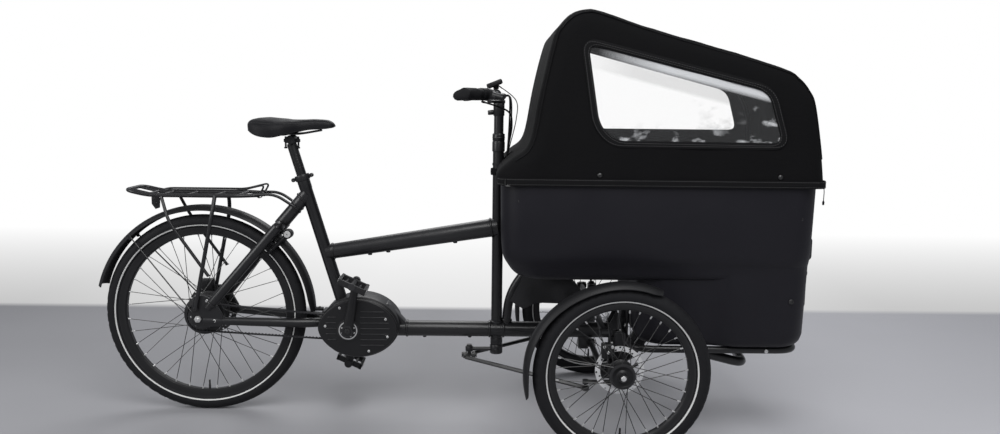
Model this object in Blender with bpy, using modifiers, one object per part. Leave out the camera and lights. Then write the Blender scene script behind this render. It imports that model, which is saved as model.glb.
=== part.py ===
"""Tilting three-wheel cargo cycle with a hooded box, as separate pieces.

Metres, +Z up, +X the way it rides, +Y the rider's left.
Sizes below are measured from the rear axle (X), the centre plane (Y) and
the ground (Z). The root empty then moves the whole cycle so that the origin
is the middle of its footprint on the ground.
"""
import math

import bmesh
import bpy
from mathutils import Matrix, Vector

# Running gaps
GAP = 0.0003
RUN_GAP = 0.0015
MERGE = 0.00001

# Rear wheel
REAR_TYRE_R = 0.328
REAR_TYRE_W = 0.047
REAR_RIM_R = 0.281
REAR_RIM_INNER_R = 0.262
REAR_HUB_R = 0.066
REAR_SPOKES = 18

# Front wheels
WHEELBASE = 1.317
FRONT_TRACK = 0.80
FRONT_TYRE_R = 0.257
FRONT_TYRE_W = 0.050
FRONT_RIM_R = 0.2035
FRONT_RIM_INNER_R = 0.183
FRONT_HUB_R = 0.038
FRONT_HUB_W = 0.066
FRONT_SPOKES = 16

RIM_W = 0.030
SPOKE_R = 0.0012
SPOKE_LEAN = 0.55
SPOKE_CROSS = 0.0019
RING_STEPS = 40
RING_SWEEP = (180 / RING_STEPS, 360 + 180 / RING_STEPS)
TUBE_SIDES = 18
HUB_STEPS = 16

# Brake discs
REAR_DISC_R = 0.082
FRONT_DISC_R = 0.072
DISC_T = 0.0022
DISC_BAND = 0.016
DISC_SEAT_R = 0.018
REAR_DISC_Y = 0.058

# Drive: crank, motor, belt
CRANK_X = 0.479
CRANK_Z = 0.293
CRANK_LENGTH = 0.168
CRANK_LEAN_DEG = 10.0
SPINDLE_R = 0.010
CRANK_ARM_Y = 0.093
CRANK_ARM_T = 0.016
PEDAL_LENGTH = 0.096
PEDAL_WIDTH = 0.086
PEDAL_T = 0.022
PEDAL_PIN_R = 0.006
PEDAL_NOSE_DEG = 24.0
MOTOR_REAR_X = 0.378
MOTOR_FRONT_X = 0.640
MOTOR_HALF_H = 0.096
MOTOR_HALF_W = 0.060
MOTOR_MID_Z = 0.299
MOTOR_SLOT_HALF_W = 0.034
FRONT_PULLEY_TEETH = 22
REAR_PULLEY_TEETH = 26
BELT_PITCH = 0.011
BELT_W = 0.012
BELT_T = 0.005
BELT_Y = -0.0595
BELT_FACET = math.cos(math.radians(10))

# Frame tubes
SEAT_TUBE_TOP_X = 0.326
SEAT_TUBE_TOP_Z = 0.770
SEAT_TUBE_LEAN = 0.302
SEAT_TUBE_R = 0.0198
SEAT_POST_R = 0.0158
SEAT_POST_TOP_Z = 0.890
SEAT_POST_IN = 0.130
SEAT_POST_DROP = 0.060
MAIN_TUBE_REAR_Z = 0.534
MAIN_TUBE_FRONT_Z = 0.624
MAIN_TUBE_REAR_R = 0.0245
MAIN_TUBE_FRONT_R = 0.0300
HEAD_X = 0.959
HEAD_R = 0.018
HEAD_TOP_Z = 0.905
HEAD_BOTTOM_Z = 0.228
STEER_SHAFT_R = 0.0125
BEAM_Z = 0.280
BEAM_R = 0.0255
BEAM_REAR_X = 0.628
BEAM_FRONT_X = 1.352
MONO_STAY_R = 0.0215
SEAT_STAY_R = 0.0165
CHAIN_STAY_R = 0.0155
DROPOUT_Y = 0.084
DROPOUT_T = 0.010
AXLE_R = 0.006

# Tilt and steering linkage
KINGPIN_X = 1.312
KINGPIN_Y = 0.325
KINGPIN_R = 0.009
CARRIER_SLEEVE_R = 0.016
SLEEVE_LOW_Z = 0.222
SLEEVE_HIGH_Z = 0.350
KNUCKLE_EAR_T = 0.016
KNUCKLE_PLATE_T = 0.010
STUB_AXLE_R = 0.008
STEER_ARM = 0.090
STEER_ARM_R = 0.006
TILT_BEAM_X = 1.276
TILT_BEAM_R = 0.0095
TILT_BOSS_R = 0.0145
TILT_BOSS_LENGTH = 0.020
LOWER_TILT_Z = 0.235
UPPER_TILT_Z = 0.360
TILT_PIN_R = 0.007
TIE_ROD_Z = 0.190
TIE_ROD_R = 0.0065
TIE_ROD_EYE_R = 0.011
TIE_ROD_PIN_R = 0.005
BALL_STUD_R = 0.004

# Cargo box
BOX_REAR_X = 0.966
BOX_FRONT_X = 1.902
BOX_RIM_Z = 0.812
BOX_FLOOR_Z = 0.500
BOX_TOP_HALF_W = 0.315
BOX_WALL = 0.008
BOX_CORNER_R = 0.075
FOOTWELL_REAR_X = 1.388
FOOTWELL_FLOOR_Z = 0.2945
FOOTWELL_HALF_W = 0.250
FOOTWELL_FRONT_HALF_W = 0.272
FLARE_REAR_X = WHEELBASE + FRONT_TYRE_R + 0.012
FLARE_LENGTH = 0.042
GROOVE_HALF_W = 0.034
GROOVE_MOUTH = 0.055
GROOVE_GAP = 0.0075
SKIN_STEP = 0.0005
CUT_PAST = 0.05
DOOR_HALF_W = 0.215
DOOR_LOW_Z = 0.412
DOOR_HIGH_Z = 0.772
DOOR_T = 0.014
DOOR_HINGE_X = BOX_FRONT_X + 0.0058
DOOR_HINGE_Y = DOOR_HALF_W + 0.002
DOOR_PROUD = 0.004
HINGE_R = 0.005
HINGE_LENGTH = 0.040
HINGE_INSET = 0.060
BUMPER_R = 0.011
BUMPER_BEND_R = 0.070
FLOOR_FRAME_INSET = 0.018
FLOOR_CROSS_X = 1.545
FLANGE_HALF_W = 0.030
STEP_R = 0.0145
STEP_FRONT_X = 1.752
STEP_Z = 0.226
STEP_BOW = 0.024
STEP_BEND_R = 0.030

# Hood
HOOD_HEM_Z = 0.790
HOOD_PEAK_X = 1.205
HOOD_PEAK_Z = 1.300
HOOD_HALF_W = 0.3215
HOOD_TOP_HALF_W = 0.275
HOOD_T = 0.004
HOOD_FRONT_X = 1.915
HOOD_EDGE_R = 0.045
HOOP_R = 0.006
WINDOW_T = 0.0015

# Cockpit and saddle
STEM_TOP_Z = 1.030
BAR_Z = 1.052
BAR_X = 0.948
BAR_R = 0.0125
BAR_HALF_W = 0.330
BAR_BEND_Y = 0.100
BAR_CLAMP_R = 0.019
BAR_SWEEP = 0.090
GRIP_R = 0.0168
GRIP_LENGTH = 0.115
SHIFTER_LENGTH = 0.034
SHIFTER_R = 0.0185
LEVER_INWARD = 0.172
LEVER_OFFSET = (0.046, 0.0, -0.010)
LEVER_PIN_R = 0.004
DISPLAY_TIP_DEG = 22.0
CABLE_R = 0.0028
SADDLE_LENGTH = 0.273
SADDLE_WIDTH = 0.172
SADDLE_NOSE_X = 0.431
SADDLE_TOP_Z = 0.973

# Mudguards and carrier
REAR_GUARD_R = 0.360
REAR_GUARD_W = 0.064
FRONT_GUARD_R = 0.272
FRONT_GUARD_W = 0.062
GUARD_T = 0.003
CARRIER_Z = 0.724
CARRIER_HALF_W = 0.070
CARRIER_REAR_X = -0.222
CARRIER_FRONT_X = 0.190
CARRIER_ROD_R = 0.006

REAR_GUARD_END_DEG = 165.3
REAR_END_X = math.cos(math.radians(REAR_GUARD_END_DEG)) * REAR_GUARD_R
FRONT_END_X = HOOD_FRONT_X
MIDDLE_X = (REAR_END_X + FRONT_END_X) / 2

# Material colours, roughness and metallic value
FINISHES = {
    "frame_paint": ((0.012, 0.012, 0.013), 0.35, 0.0),
    "black_alloy": ((0.020, 0.020, 0.021), 0.42, 0.8),
    "bare_steel": ((0.55, 0.55, 0.56), 0.30, 1.0),
    "plastic": ((0.018, 0.018, 0.020), 0.55, 0.0),
    "box_plastic": ((0.016, 0.016, 0.019), 0.48, 0.0),
    "tyre": ((0.022, 0.022, 0.023), 0.85, 0.0),
    "rubber": ((0.015, 0.015, 0.016), 0.75, 0.0),
    "fabric": ((0.010, 0.010, 0.011), 0.95, 0.0),
    "saddle_cover": ((0.014, 0.014, 0.015), 0.60, 0.0),
    "clear_film": ((0.85, 0.88, 0.90), 0.08, 0.0),
}

PARTS_NAME = "cargo_tricycle"
CUTTERS_NAME = "cutters"


def clear_scene():
    for obj in list(bpy.data.objects):
        bpy.data.objects.remove(obj, do_unlink=True)


def collection(name):
    found = bpy.data.collections.get(name)
    if found is None:
        found = bpy.data.collections.new(name)
        bpy.context.scene.collection.children.link(found)
    return found


def mesh_object(mesh, name="piece"):
    obj = bpy.data.objects.new(name, mesh)
    collection(PARTS_NAME).objects.link(obj)
    return obj


def from_bmesh(bm):
    bmesh.ops.recalc_face_normals(bm, faces=bm.faces)
    mesh = bpy.data.meshes.new("piece")
    bm.to_mesh(mesh)
    bm.free()
    return mesh_object(mesh)


def evaluated_copy(obj, weld=MERGE):
    """Replace an object by a plain mesh of what its modifiers or curve make."""
    bpy.context.view_layer.update()
    depsgraph = bpy.context.evaluated_depsgraph_get()
    mesh = bpy.data.meshes.new_from_object(obj.evaluated_get(depsgraph))
    bm = bmesh.new()
    bm.from_mesh(mesh)
    bm.transform(obj.matrix_world)
    bmesh.ops.remove_doubles(bm, verts=bm.verts, dist=weld)
    bpy.data.objects.remove(obj, do_unlink=True)
    bpy.data.meshes.remove(mesh)
    return from_bmesh(bm)


def cylinder(start, end, radius, end_radius=None, sides=12):
    start, end = Vector(start), Vector(end)
    along = end - start
    turn = along.to_track_quat("Z", "Y").to_matrix().to_4x4()
    bm = bmesh.new()
    bmesh.ops.create_cone(
        bm, cap_ends=True, segments=sides, radius1=radius,
        radius2=radius if end_radius is None else end_radius, depth=along.length,
        matrix=Matrix.Translation((start + end) / 2) @ turn)
    return from_bmesh(bm)


def ball(centre, radius, sides=12, scale=(1, 1, 1)):
    bm = bmesh.new()
    stretch = Matrix.Diagonal((*scale, 1))
    bmesh.ops.create_uvsphere(bm, u_segments=sides, v_segments=sides // 2, radius=radius,
                              matrix=Matrix.Translation(centre) @ stretch)
    return from_bmesh(bm)


def block(low, high, bevel=0.0, segments=1):
    low, high = Vector(low), Vector(high)
    size = high - low
    bm = bmesh.new()
    bmesh.ops.create_cube(bm, size=1.0,
                          matrix=Matrix.Translation((low + high) / 2) @ Matrix.Diagonal((*size, 1)))
    obj = from_bmesh(bm)
    if bevel:
        rounding = obj.modifiers.new("rounding", "BEVEL")
        rounding.width = bevel
        rounding.segments = segments
        obj = evaluated_copy(obj)
    return obj


def bore_r(radius, sides=12):
    """Radius of a faceted bore that clears a faceted rod turned any way inside it."""
    return radius / math.cos(math.pi / sides) + GAP


def rounded_path(points, radius, steps=3):
    """Corner points replaced by short arcs, so a bent tube has real bends."""
    points = [Vector(point) for point in points]
    path = [points[0]]
    for before, corner, after in zip(points, points[1:], points[2:]):
        back = (before - corner).normalized()
        ahead = (after - corner).normalized()
        reach = min(radius, (before - corner).length * 0.45, (after - corner).length * 0.45)
        first = corner + back * reach
        last = corner + ahead * reach
        for step in range(steps + 1):
            share = step / steps
            path.append((1 - share) ** 2 * first + 2 * share * (1 - share) * corner
                        + share ** 2 * last)
    path.append(points[-1])
    return path


def tube(points, radius, resolution=1):
    """A round rod along a path, meshed so that it can be joined to others."""
    curve = bpy.data.curves.new("rod", "CURVE")
    curve.dimensions = "3D"
    curve.bevel_depth = radius
    curve.bevel_resolution = resolution
    curve.use_fill_caps = True
    spline = curve.splines.new("POLY")
    spline.points.add(len(points) - 1)
    for point, place in zip(spline.points, points):
        point.co = (*place, 1)
    rod = bpy.data.objects.new("rod", curve)
    collection(PARTS_NAME).objects.link(rod)
    return evaluated_copy(rod)


def plate(outline, half_thickness, mid_y=0.0):
    """A flat outline in the XZ plane, thickened both ways along Y."""
    curve = bpy.data.curves.new("plate", "CURVE")
    curve.dimensions = "2D"
    curve.fill_mode = "BOTH"
    curve.extrude = half_thickness
    spline = curve.splines.new("POLY")
    spline.points.add(len(outline) - 1)
    for point, (x, z) in zip(spline.points, outline):
        point.co = (x, z, 0, 1)
    spline.use_cyclic_u = True
    flat = bpy.data.objects.new("plate", curve)
    collection(PARTS_NAME).objects.link(flat)
    flat.rotation_euler = (math.radians(90), 0, 0)
    flat.location = (0, mid_y, 0)
    return evaluated_copy(flat)


def turned(profile, centre, steps=RING_STEPS, closed=True, sweep=(0.0, 360.0)):
    """A (radius, y) profile turned about an axis along Y through the centre."""
    full = abs(sweep[1] - sweep[0]) >= 359.9
    bm = bmesh.new()
    ring = [bm.verts.new((radius, 0, along)) for radius, along in profile]
    pairs = list(zip(ring, ring[1:]))
    if closed:
        pairs.append((ring[-1], ring[0]))
    for first, second in pairs:
        bm.edges.new((first, second))
    mesh = bpy.data.meshes.new("profile")
    bm.to_mesh(mesh)
    bm.free()
    obj = mesh_object(mesh)
    screw = obj.modifiers.new("turn", "SCREW")
    screw.axis = "Z"
    screw.angle = math.radians(sweep[1] - sweep[0])
    screw.steps = steps
    screw.render_steps = steps
    screw.use_merge_vertices = full
    screw.merge_threshold = MERGE
    solid = evaluated_copy(obj)
    stand = Matrix.Rotation(math.radians(90), 4, "X")
    start = Matrix.Rotation(math.radians(sweep[0]), 4, "Z")
    solid.data.transform(Matrix.Translation(centre) @ stand @ start)
    bm = bmesh.new()
    bm.from_mesh(solid.data)
    if not full:
        bmesh.ops.holes_fill(bm, edges=[edge for edge in bm.edges if edge.is_boundary])
    bmesh.ops.remove_doubles(bm, verts=bm.verts, dist=MERGE)
    bmesh.ops.recalc_face_normals(bm, faces=bm.faces)
    bm.to_mesh(solid.data)
    bm.free()
    return solid


def boolean(obj, other, operation):
    joint = obj.modifiers.new(operation.lower(), "BOOLEAN")
    joint.operation = operation
    joint.solver = "EXACT"
    joint.object = other
    result = evaluated_copy(obj)
    bpy.data.objects.remove(other, do_unlink=True)
    return result


def fuse(*pieces):
    """Welded pieces become one body."""
    whole = pieces[0]
    for piece in pieces[1:]:
        whole = boolean(whole, piece, "UNION")
    return whole


def cut(obj, *cutters):
    """Take the cutters' shapes out of a piece."""
    for cutter in cutters:
        collection(CUTTERS_NAME).objects.link(cutter)
        collection(PARTS_NAME).objects.unlink(cutter)
        cutter.hide_render = True
        cutter.display_type = "WIRE"
        obj = boolean(obj, cutter, "DIFFERENCE")
    return obj


def mirrored(obj):
    """A copy of a piece on the other side of the centre plane."""
    copy = mesh_object(obj.data.copy())
    copy.data.transform(Matrix.Diagonal((1, -1, 1, 1)))
    copy.data.flip_normals()
    return copy


def finish(name, kind):
    colour, roughness, metallic = FINISHES[kind]
    material = bpy.data.materials.new(f"{name}_{kind}")
    material.use_nodes = True
    shader = material.node_tree.nodes["Principled BSDF"]
    shader.inputs["Base Color"].default_value = (*colour, 1)
    shader.inputs["Roughness"].default_value = roughness
    shader.inputs["Metallic"].default_value = metallic
    return material


def node(name, obj, kind, pivot, root):
    """Name a finished piece, set its origin and hang it on the root."""
    obj.name = name
    obj.data.name = name
    obj.data.transform(Matrix.Translation(-Vector(pivot)))
    obj.data.materials.clear()
    obj.data.materials.append(finish(name, kind))
    obj.data.shade_smooth()
    obj.data.set_sharp_from_angle(angle=math.radians(35))
    obj.parent = root
    obj.location = pivot
    return obj


def side_name(side):
    return "right" if side < 0 else "left"


def wheel_tyre(centre, outer_r, width, seat_r):
    """Tyre whose lowest facet lies flat on the ground."""
    inner_r = seat_r + GAP
    outer_r = outer_r / math.cos(math.pi / RING_STEPS)
    mid_r = (outer_r + inner_r) / 2
    half = width / 2
    profile = [(outer_r, half * 0.40), (mid_r, half), (inner_r, RIM_W / 2),
               (inner_r, -RIM_W / 2), (mid_r, -half), (outer_r, -half * 0.40)]
    return turned(profile, centre, sweep=RING_SWEEP)


def spoked_wheel(centre, rim_r, rim_inner_r, hub, spoke_count, hole_r):
    """Rim, hub shell and laced spokes as one built wheel; hub is a (radius, y) profile."""
    half = RIM_W / 2
    rim = turned([(rim_r, half), (rim_r, -half), (rim_inner_r, -half * 0.5),
                  (rim_inner_r, half * 0.5)], centre, sweep=RING_SWEEP)
    shell = turned(hub + [(hole_r, hub[-1][1]), (hole_r, hub[0][1])], centre, steps=HUB_STEPS)
    wheel = fuse(rim, shell)
    flange_r = max(radius for radius, _ in hub)
    flange_y = [along for radius, along in hub if radius > flange_r * 0.9]
    reach = rim_inner_r + (rim_r - rim_inner_r) * 0.4
    for spoke in range(spoke_count):
        angle = 2 * math.pi * spoke / spoke_count
        turn = 1 if spoke % 4 < 2 else -1
        lean = SPOKE_LEAN * turn
        along = (max(flange_y) if spoke % 2 else min(flange_y)) * 0.8 + SPOKE_CROSS * turn
        inner = Vector((math.cos(angle + lean) * flange_r * 0.9, -along,
                        math.sin(angle + lean) * flange_r * 0.9))
        outer = Vector((math.cos(angle) * reach, 0, math.sin(angle) * reach))
        wheel = fuse(wheel, cylinder(Vector(centre) + inner, Vector(centre) + outer, SPOKE_R, sides=4))
    return wheel


def brake_disc(centre, outer_r, hub_r, spokes=5):
    """A thin ring carried on curved arms by a middle ring."""
    band = outer_r - DISC_BAND
    half = DISC_T / 2
    ring = turned([(outer_r, half), (outer_r, -half), (band, -half), (band, half)], centre, steps=24)
    middle = turned([(hub_r + 0.012, half), (hub_r + 0.012, -half), (hub_r, -half), (hub_r, half)],
                    centre, steps=HUB_STEPS)
    disc = fuse(ring, middle)
    for arm in range(spokes):
        angle = 2 * math.pi * arm / spokes
        start = Vector((math.cos(angle) * (hub_r + 0.006), 0, math.sin(angle) * (hub_r + 0.006)))
        end = Vector((math.cos(angle + 0.5) * (band + 0.006), 0, math.sin(angle + 0.5) * (band + 0.006)))
        along = end - start
        bm = bmesh.new()
        turn = along.to_track_quat("X", "Y").to_matrix().to_4x4()
        size = Matrix.Diagonal((along.length, 0.007, DISC_T * 0.9, 1))
        bmesh.ops.create_cube(bm, size=1.0, matrix=Matrix.Translation(Vector(centre) + (start + end) / 2)
                              @ turn @ size)
        disc = fuse(disc, from_bmesh(bm))
    return disc


def mudguard(centre, radius, width, start_deg, end_deg, steps):
    """A curved blade with turned-down edges over part of a turn."""
    half = width / 2
    drop = 0.016
    outer = [(radius - drop, half), (radius - 0.004, half * 0.72), (radius, 0.0),
             (radius - 0.004, -half * 0.72), (radius - drop, -half)]
    inner = [(r - GUARD_T, along * (1 - GUARD_T / half)) for r, along in reversed(outer)]
    return turned(outer + inner, centre, steps=steps, sweep=(start_deg, end_deg))


def seat_tube_point(z):
    return Vector((SEAT_TUBE_TOP_X + (SEAT_TUBE_TOP_Z - z) * SEAT_TUBE_LEAN, 0, z))


def pulley_r(teeth):
    return teeth * BELT_PITCH / (2 * math.pi)


REAR_AXLE = Vector((0, 0, REAR_TYRE_R))
CRANK = Vector((CRANK_X, 0, CRANK_Z))
STAY_YOKE = Vector((0.248, 0, 0.622))
CHAIN_STAY_PATH = [(0.015, DROPOUT_Y, 0.322), (0.325, 0.052, 0.308), (0.400, 0.028, 0.306)]


def main_frame():
    seat_tube = cylinder(seat_tube_point(0.352), seat_tube_point(SEAT_TUBE_TOP_Z), SEAT_TUBE_R, sides=TUBE_SIDES)
    main_tube = cylinder(seat_tube_point(MAIN_TUBE_REAR_Z), (HEAD_X, 0, MAIN_TUBE_FRONT_Z),
                         MAIN_TUBE_REAR_R, MAIN_TUBE_FRONT_R, sides=TUBE_SIDES)
    head_tube = cylinder((HEAD_X, 0, HEAD_BOTTOM_Z), (HEAD_X, 0, HEAD_TOP_Z), HEAD_R, sides=TUBE_SIDES)
    beam = cylinder((BEAM_REAR_X, 0, BEAM_Z), (BEAM_FRONT_X, 0, BEAM_Z), BEAM_R, sides=TUBE_SIDES)
    cradle = block((0.386, -0.030, 0.344), (0.652, 0.030, 0.372), bevel=0.006)
    cradle_rear = block((0.384, -0.030, 0.292), (0.408, 0.030, 0.360))
    cradle_front = block((0.632, -0.020, 0.262), (0.660, 0.020, 0.366))
    strut = tube(rounded_path([(0.990, 0, BEAM_Z + 0.010), (1.000, 0, 0.400),
                               (1.060, 0, BOX_FLOOR_Z - 0.012)], 0.08), 0.015, resolution=2)
    shelf = block((1.030, -0.090, BOX_FLOOR_Z - 0.016), (1.180, 0.090, BOX_FLOOR_Z - GAP), bevel=0.003)
    frame = fuse(seat_tube, main_tube, head_tube, beam, cradle, cradle_rear, cradle_front, strut, shelf)
    mono_stay = cylinder(seat_tube_point(0.728), STAY_YOKE, MONO_STAY_R, sides=TUBE_SIDES)
    yoke = tube(rounded_path([STAY_YOKE + Vector((-0.012, -0.062, -0.016)),
                              STAY_YOKE + Vector((0.004, -0.045, 0.002)),
                              STAY_YOKE + Vector((0.004, 0.045, 0.002)),
                              STAY_YOKE + Vector((-0.012, 0.062, -0.016))], 0.012), 0.0165, resolution=2)
    frame = fuse(frame, mono_stay, yoke)
    for side in (-1, 1):
        seat_stay = tube([STAY_YOKE + Vector((-0.004, side * 0.060, -0.008)),
                          (0.030, side * DROPOUT_Y, 0.362)], SEAT_STAY_R, resolution=3)
        chain_stay = tube(rounded_path([(x, side * y, z) for x, y, z in CHAIN_STAY_PATH], 0.05),
                          CHAIN_STAY_R, resolution=3)
        outline = [(-0.022, 0.312), (0.0, 0.300), (0.075, 0.304), (0.080, 0.336), (0.050, 0.392),
                   (0.020, 0.404), (-0.014, 0.402), (-0.022, 0.350)]
        dropout = plate(outline, DROPOUT_T / 2, side * DROPOUT_Y)
        frame = fuse(frame, seat_stay, chain_stay, dropout)
    for pin_z, lug_low, lug_high in ((LOWER_TILT_Z, LOWER_TILT_Z - 0.017, BEAM_Z - 0.010),
                                     (UPPER_TILT_Z, BEAM_Z + 0.010, UPPER_TILT_Z + 0.017)):
        lug = block((TILT_BEAM_X - 0.044, -0.017, lug_low), (TILT_BEAM_X - TILT_BOSS_LENGTH / 2 - GAP,
                                                            0.017, lug_high), bevel=0.004)
        pin_end = TILT_BEAM_X + TILT_BOSS_LENGTH / 2 + GAP
        pin = cylinder((TILT_BEAM_X - 0.030, 0, pin_z), (pin_end + 0.003, 0, pin_z), TILT_PIN_R)
        head = cylinder((pin_end, 0, pin_z), (pin_end + 0.006, 0, pin_z), TILT_PIN_R + 0.005, sides=6)
        frame = fuse(frame, lug, pin, head)
    shaft_bore = cylinder((HEAD_X, 0, HEAD_BOTTOM_Z - 0.05), (HEAD_X, 0, HEAD_TOP_Z + 0.05),
                          bore_r(STEER_SHAFT_R))
    post_bore = cylinder(seat_tube_point(SEAT_TUBE_TOP_Z - SEAT_POST_IN - SEAT_POST_DROP),
                         seat_tube_point(SEAT_TUBE_TOP_Z + 0.05), SEAT_POST_R + GAP)
    axle_bore = cylinder((0, -0.2, REAR_TYRE_R), (0, 0.2, REAR_TYRE_R), AXLE_R + GAP)
    return cut(frame, shaft_bore, post_bore, axle_bore)


def lens_outline(steps=9):
    """The motor's side view: two arcs that meet in points at the front and rear."""
    half_length = (MOTOR_FRONT_X - MOTOR_REAR_X) / 2
    middle = (MOTOR_FRONT_X + MOTOR_REAR_X) / 2
    outline = []
    for bulge in (1, -1):
        for step in range(steps):
            angle = math.pi * step / steps
            x = middle - bulge * half_length * math.cos(angle)
            outline.append((x, MOTOR_MID_Z + bulge * MOTOR_HALF_H * math.sin(angle) ** 1.15))
    return outline


def motor_housing():
    housing = plate(lens_outline(), MOTOR_HALF_W)
    slot = block((0.300, -MOTOR_SLOT_HALF_W, 0.340), (0.700, MOTOR_SLOT_HALF_W, 0.450))
    rear_notch = block((0.300, -0.054, 0.284), (0.416, 0.054, 0.450))
    front_notch = block((0.624, -0.030, 0.240), (0.700, 0.030, 0.450))
    well_r = pulley_r(FRONT_PULLEY_TEETH) + BELT_T + 0.006
    pulley_well = cylinder((CRANK_X, BELT_Y - 0.05, CRANK_Z), (CRANK_X, BELT_Y + BELT_W / 2 + 0.004, CRANK_Z),
                           well_r, sides=24)
    belt_way = block((0.300, -0.2, CRANK_Z - well_r), (CRANK_X, BELT_Y + BELT_W / 2 + 0.004,
                                                      CRANK_Z + well_r))
    spindle_bore = cylinder((CRANK_X, -0.2, CRANK_Z), (CRANK_X, 0.2, CRANK_Z), bore_r(SPINDLE_R))
    return cut(housing, slot, rear_notch, front_notch, pulley_well, belt_way, spindle_bore)


def belt_pulley(centre, teeth, hole_r):
    """A toothed rim between two flanges, on the belt line."""
    pitch_r = pulley_r(teeth)
    half = BELT_W / 2 - 0.001
    root_r = (pitch_r - BELT_T / 2) * BELT_FACET - GAP
    profile = [(root_r, half), (root_r, -half), (hole_r, -half), (hole_r, half)]
    return turned(profile, centre, steps=teeth)


def drive_belt():
    """A loop round both pulleys; straight runs touch the two pitch circles."""
    rear_r = pulley_r(REAR_PULLEY_TEETH)
    front_r = pulley_r(FRONT_PULLEY_TEETH)
    rear = Vector((0, REAR_TYRE_R))
    front = Vector((CRANK_X, CRANK_Z))
    along = front - rear
    slope = math.atan2(along.y, along.x)
    wrap = math.acos((rear_r - front_r) / along.length)

    def loop(offset):
        points = []
        for centre, radius, first, last in ((rear, rear_r, wrap, 2 * math.pi - wrap),
                                            (front, front_r, -wrap, wrap)):
            for step in range(11):
                angle = slope + first + (last - first) * step / 10
                points.append((centre.x + (radius + offset) * math.cos(angle),
                               centre.y + (radius + offset) * math.sin(angle)))
        return points

    belt = plate(loop(BELT_T / 2), BELT_W / 2, BELT_Y)
    return cut(belt, plate(loop(-BELT_T / 2), BELT_W, BELT_Y))


def crank_arm(side, phase):
    """One arm from the spindle to its pedal pin, leaning as photographed."""
    lean = math.radians(CRANK_LEAN_DEG)
    tip = CRANK + phase * CRANK_LENGTH * Vector((math.sin(lean), 0, math.cos(lean)))
    y = side * CRANK_ARM_Y
    arm = tube([(CRANK_X, y, CRANK_Z), (tip.x, y, tip.z)], CRANK_ARM_T / 2, resolution=3)
    boss = cylinder((CRANK_X, y - 0.010, CRANK_Z), (CRANK_X, y + 0.010, CRANK_Z), 0.016)
    eye = cylinder((tip.x, y - 0.010, tip.z), (tip.x, y + 0.010, tip.z), 0.013)
    pin = cylinder((tip.x, y, tip.z), (tip.x, side * (CRANK_ARM_Y + 0.012 + PEDAL_WIDTH), tip.z), PEDAL_PIN_R)
    crank = fuse(arm, boss, eye, pin)
    spindle_end = CRANK_ARM_Y + 0.012
    if side > 0:
        spindle = cylinder((CRANK_X, y, CRANK_Z), (CRANK_X, -spindle_end, CRANK_Z), SPINDLE_R)
        return fuse(crank, spindle), tip
    bore = cylinder((CRANK_X, y - 0.05, CRANK_Z), (CRANK_X, y + 0.05, CRANK_Z), SPINDLE_R + GAP)
    return cut(crank, bore), tip


def pedal(side, tip):
    """A platform with a cage of ribs, bored for its pin."""
    low = Vector((-PEDAL_LENGTH / 2, 0, -PEDAL_T / 2))
    high = Vector((PEDAL_LENGTH / 2, PEDAL_WIDTH, PEDAL_T / 2))
    body = block(low, high, bevel=0.005)
    pieces = []
    for mid_x in (-0.030, 0.030):
        pieces.append(block((mid_x - 0.010, 0.012, -0.05), (mid_x + 0.010, PEDAL_WIDTH - 0.012, 0.05)))
    body = cut(body, *pieces)
    body = cut(body, cylinder((0, -0.1, 0), (0, 0.2, 0), PEDAL_PIN_R + GAP))
    inner = CRANK_ARM_Y + 0.010 + RUN_GAP
    nose = Matrix.Rotation(math.radians(PEDAL_NOSE_DEG), 4, "Y")
    body.data.transform(Matrix.Translation((tip.x, inner, tip.z)) @ nose)
    if side < 0:
        right = mirrored(body)
        bpy.data.objects.remove(body, do_unlink=True)
        body = right
    return body


def rear_axle():
    """Through axle with a nut outside each dropout."""
    nut_y = DROPOUT_Y + DROPOUT_T / 2 + GAP
    axle = cylinder((0, -nut_y - 0.012, REAR_TYRE_R), (0, nut_y + 0.012, REAR_TYRE_R), AXLE_R)
    nuts = [cylinder((0, side * nut_y, REAR_TYRE_R), (0, side * (nut_y + 0.009), REAR_TYRE_R), 0.011, sides=6)
            for side in (-1, 1)]
    return fuse(axle, *nuts)


FRONT_AXLE = Vector((WHEELBASE, -FRONT_TRACK / 2, FRONT_TYRE_R))
FRONT_DISC_Y = -0.358
PITMAN_X = HEAD_X - STEER_ARM
BALL_X = KINGPIN_X - STEER_ARM
PITMAN_Z = 0.212


def both_sides(right_piece):
    """The right-hand piece as made, and its mirror image for the left."""
    return {-1: right_piece, 1: mirrored(right_piece)}


def tilt_beam(z):
    """A cross tube with a bored boss at its middle and at both ends."""
    beam = cylinder((TILT_BEAM_X, -KINGPIN_Y, z), (TILT_BEAM_X, KINGPIN_Y, z), TILT_BEAM_R, sides=12)
    half = TILT_BOSS_LENGTH / 2
    for y in (-KINGPIN_Y, 0.0, KINGPIN_Y):
        beam = fuse(beam, cylinder((TILT_BEAM_X - half, y, z), (TILT_BEAM_X + half, y, z), TILT_BOSS_R))
    for y in (-KINGPIN_Y, 0.0, KINGPIN_Y):
        beam = cut(beam, cylinder((TILT_BEAM_X - 0.1, y, z), (TILT_BEAM_X + 0.1, y, z), TILT_PIN_R + GAP))
    return beam


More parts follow.
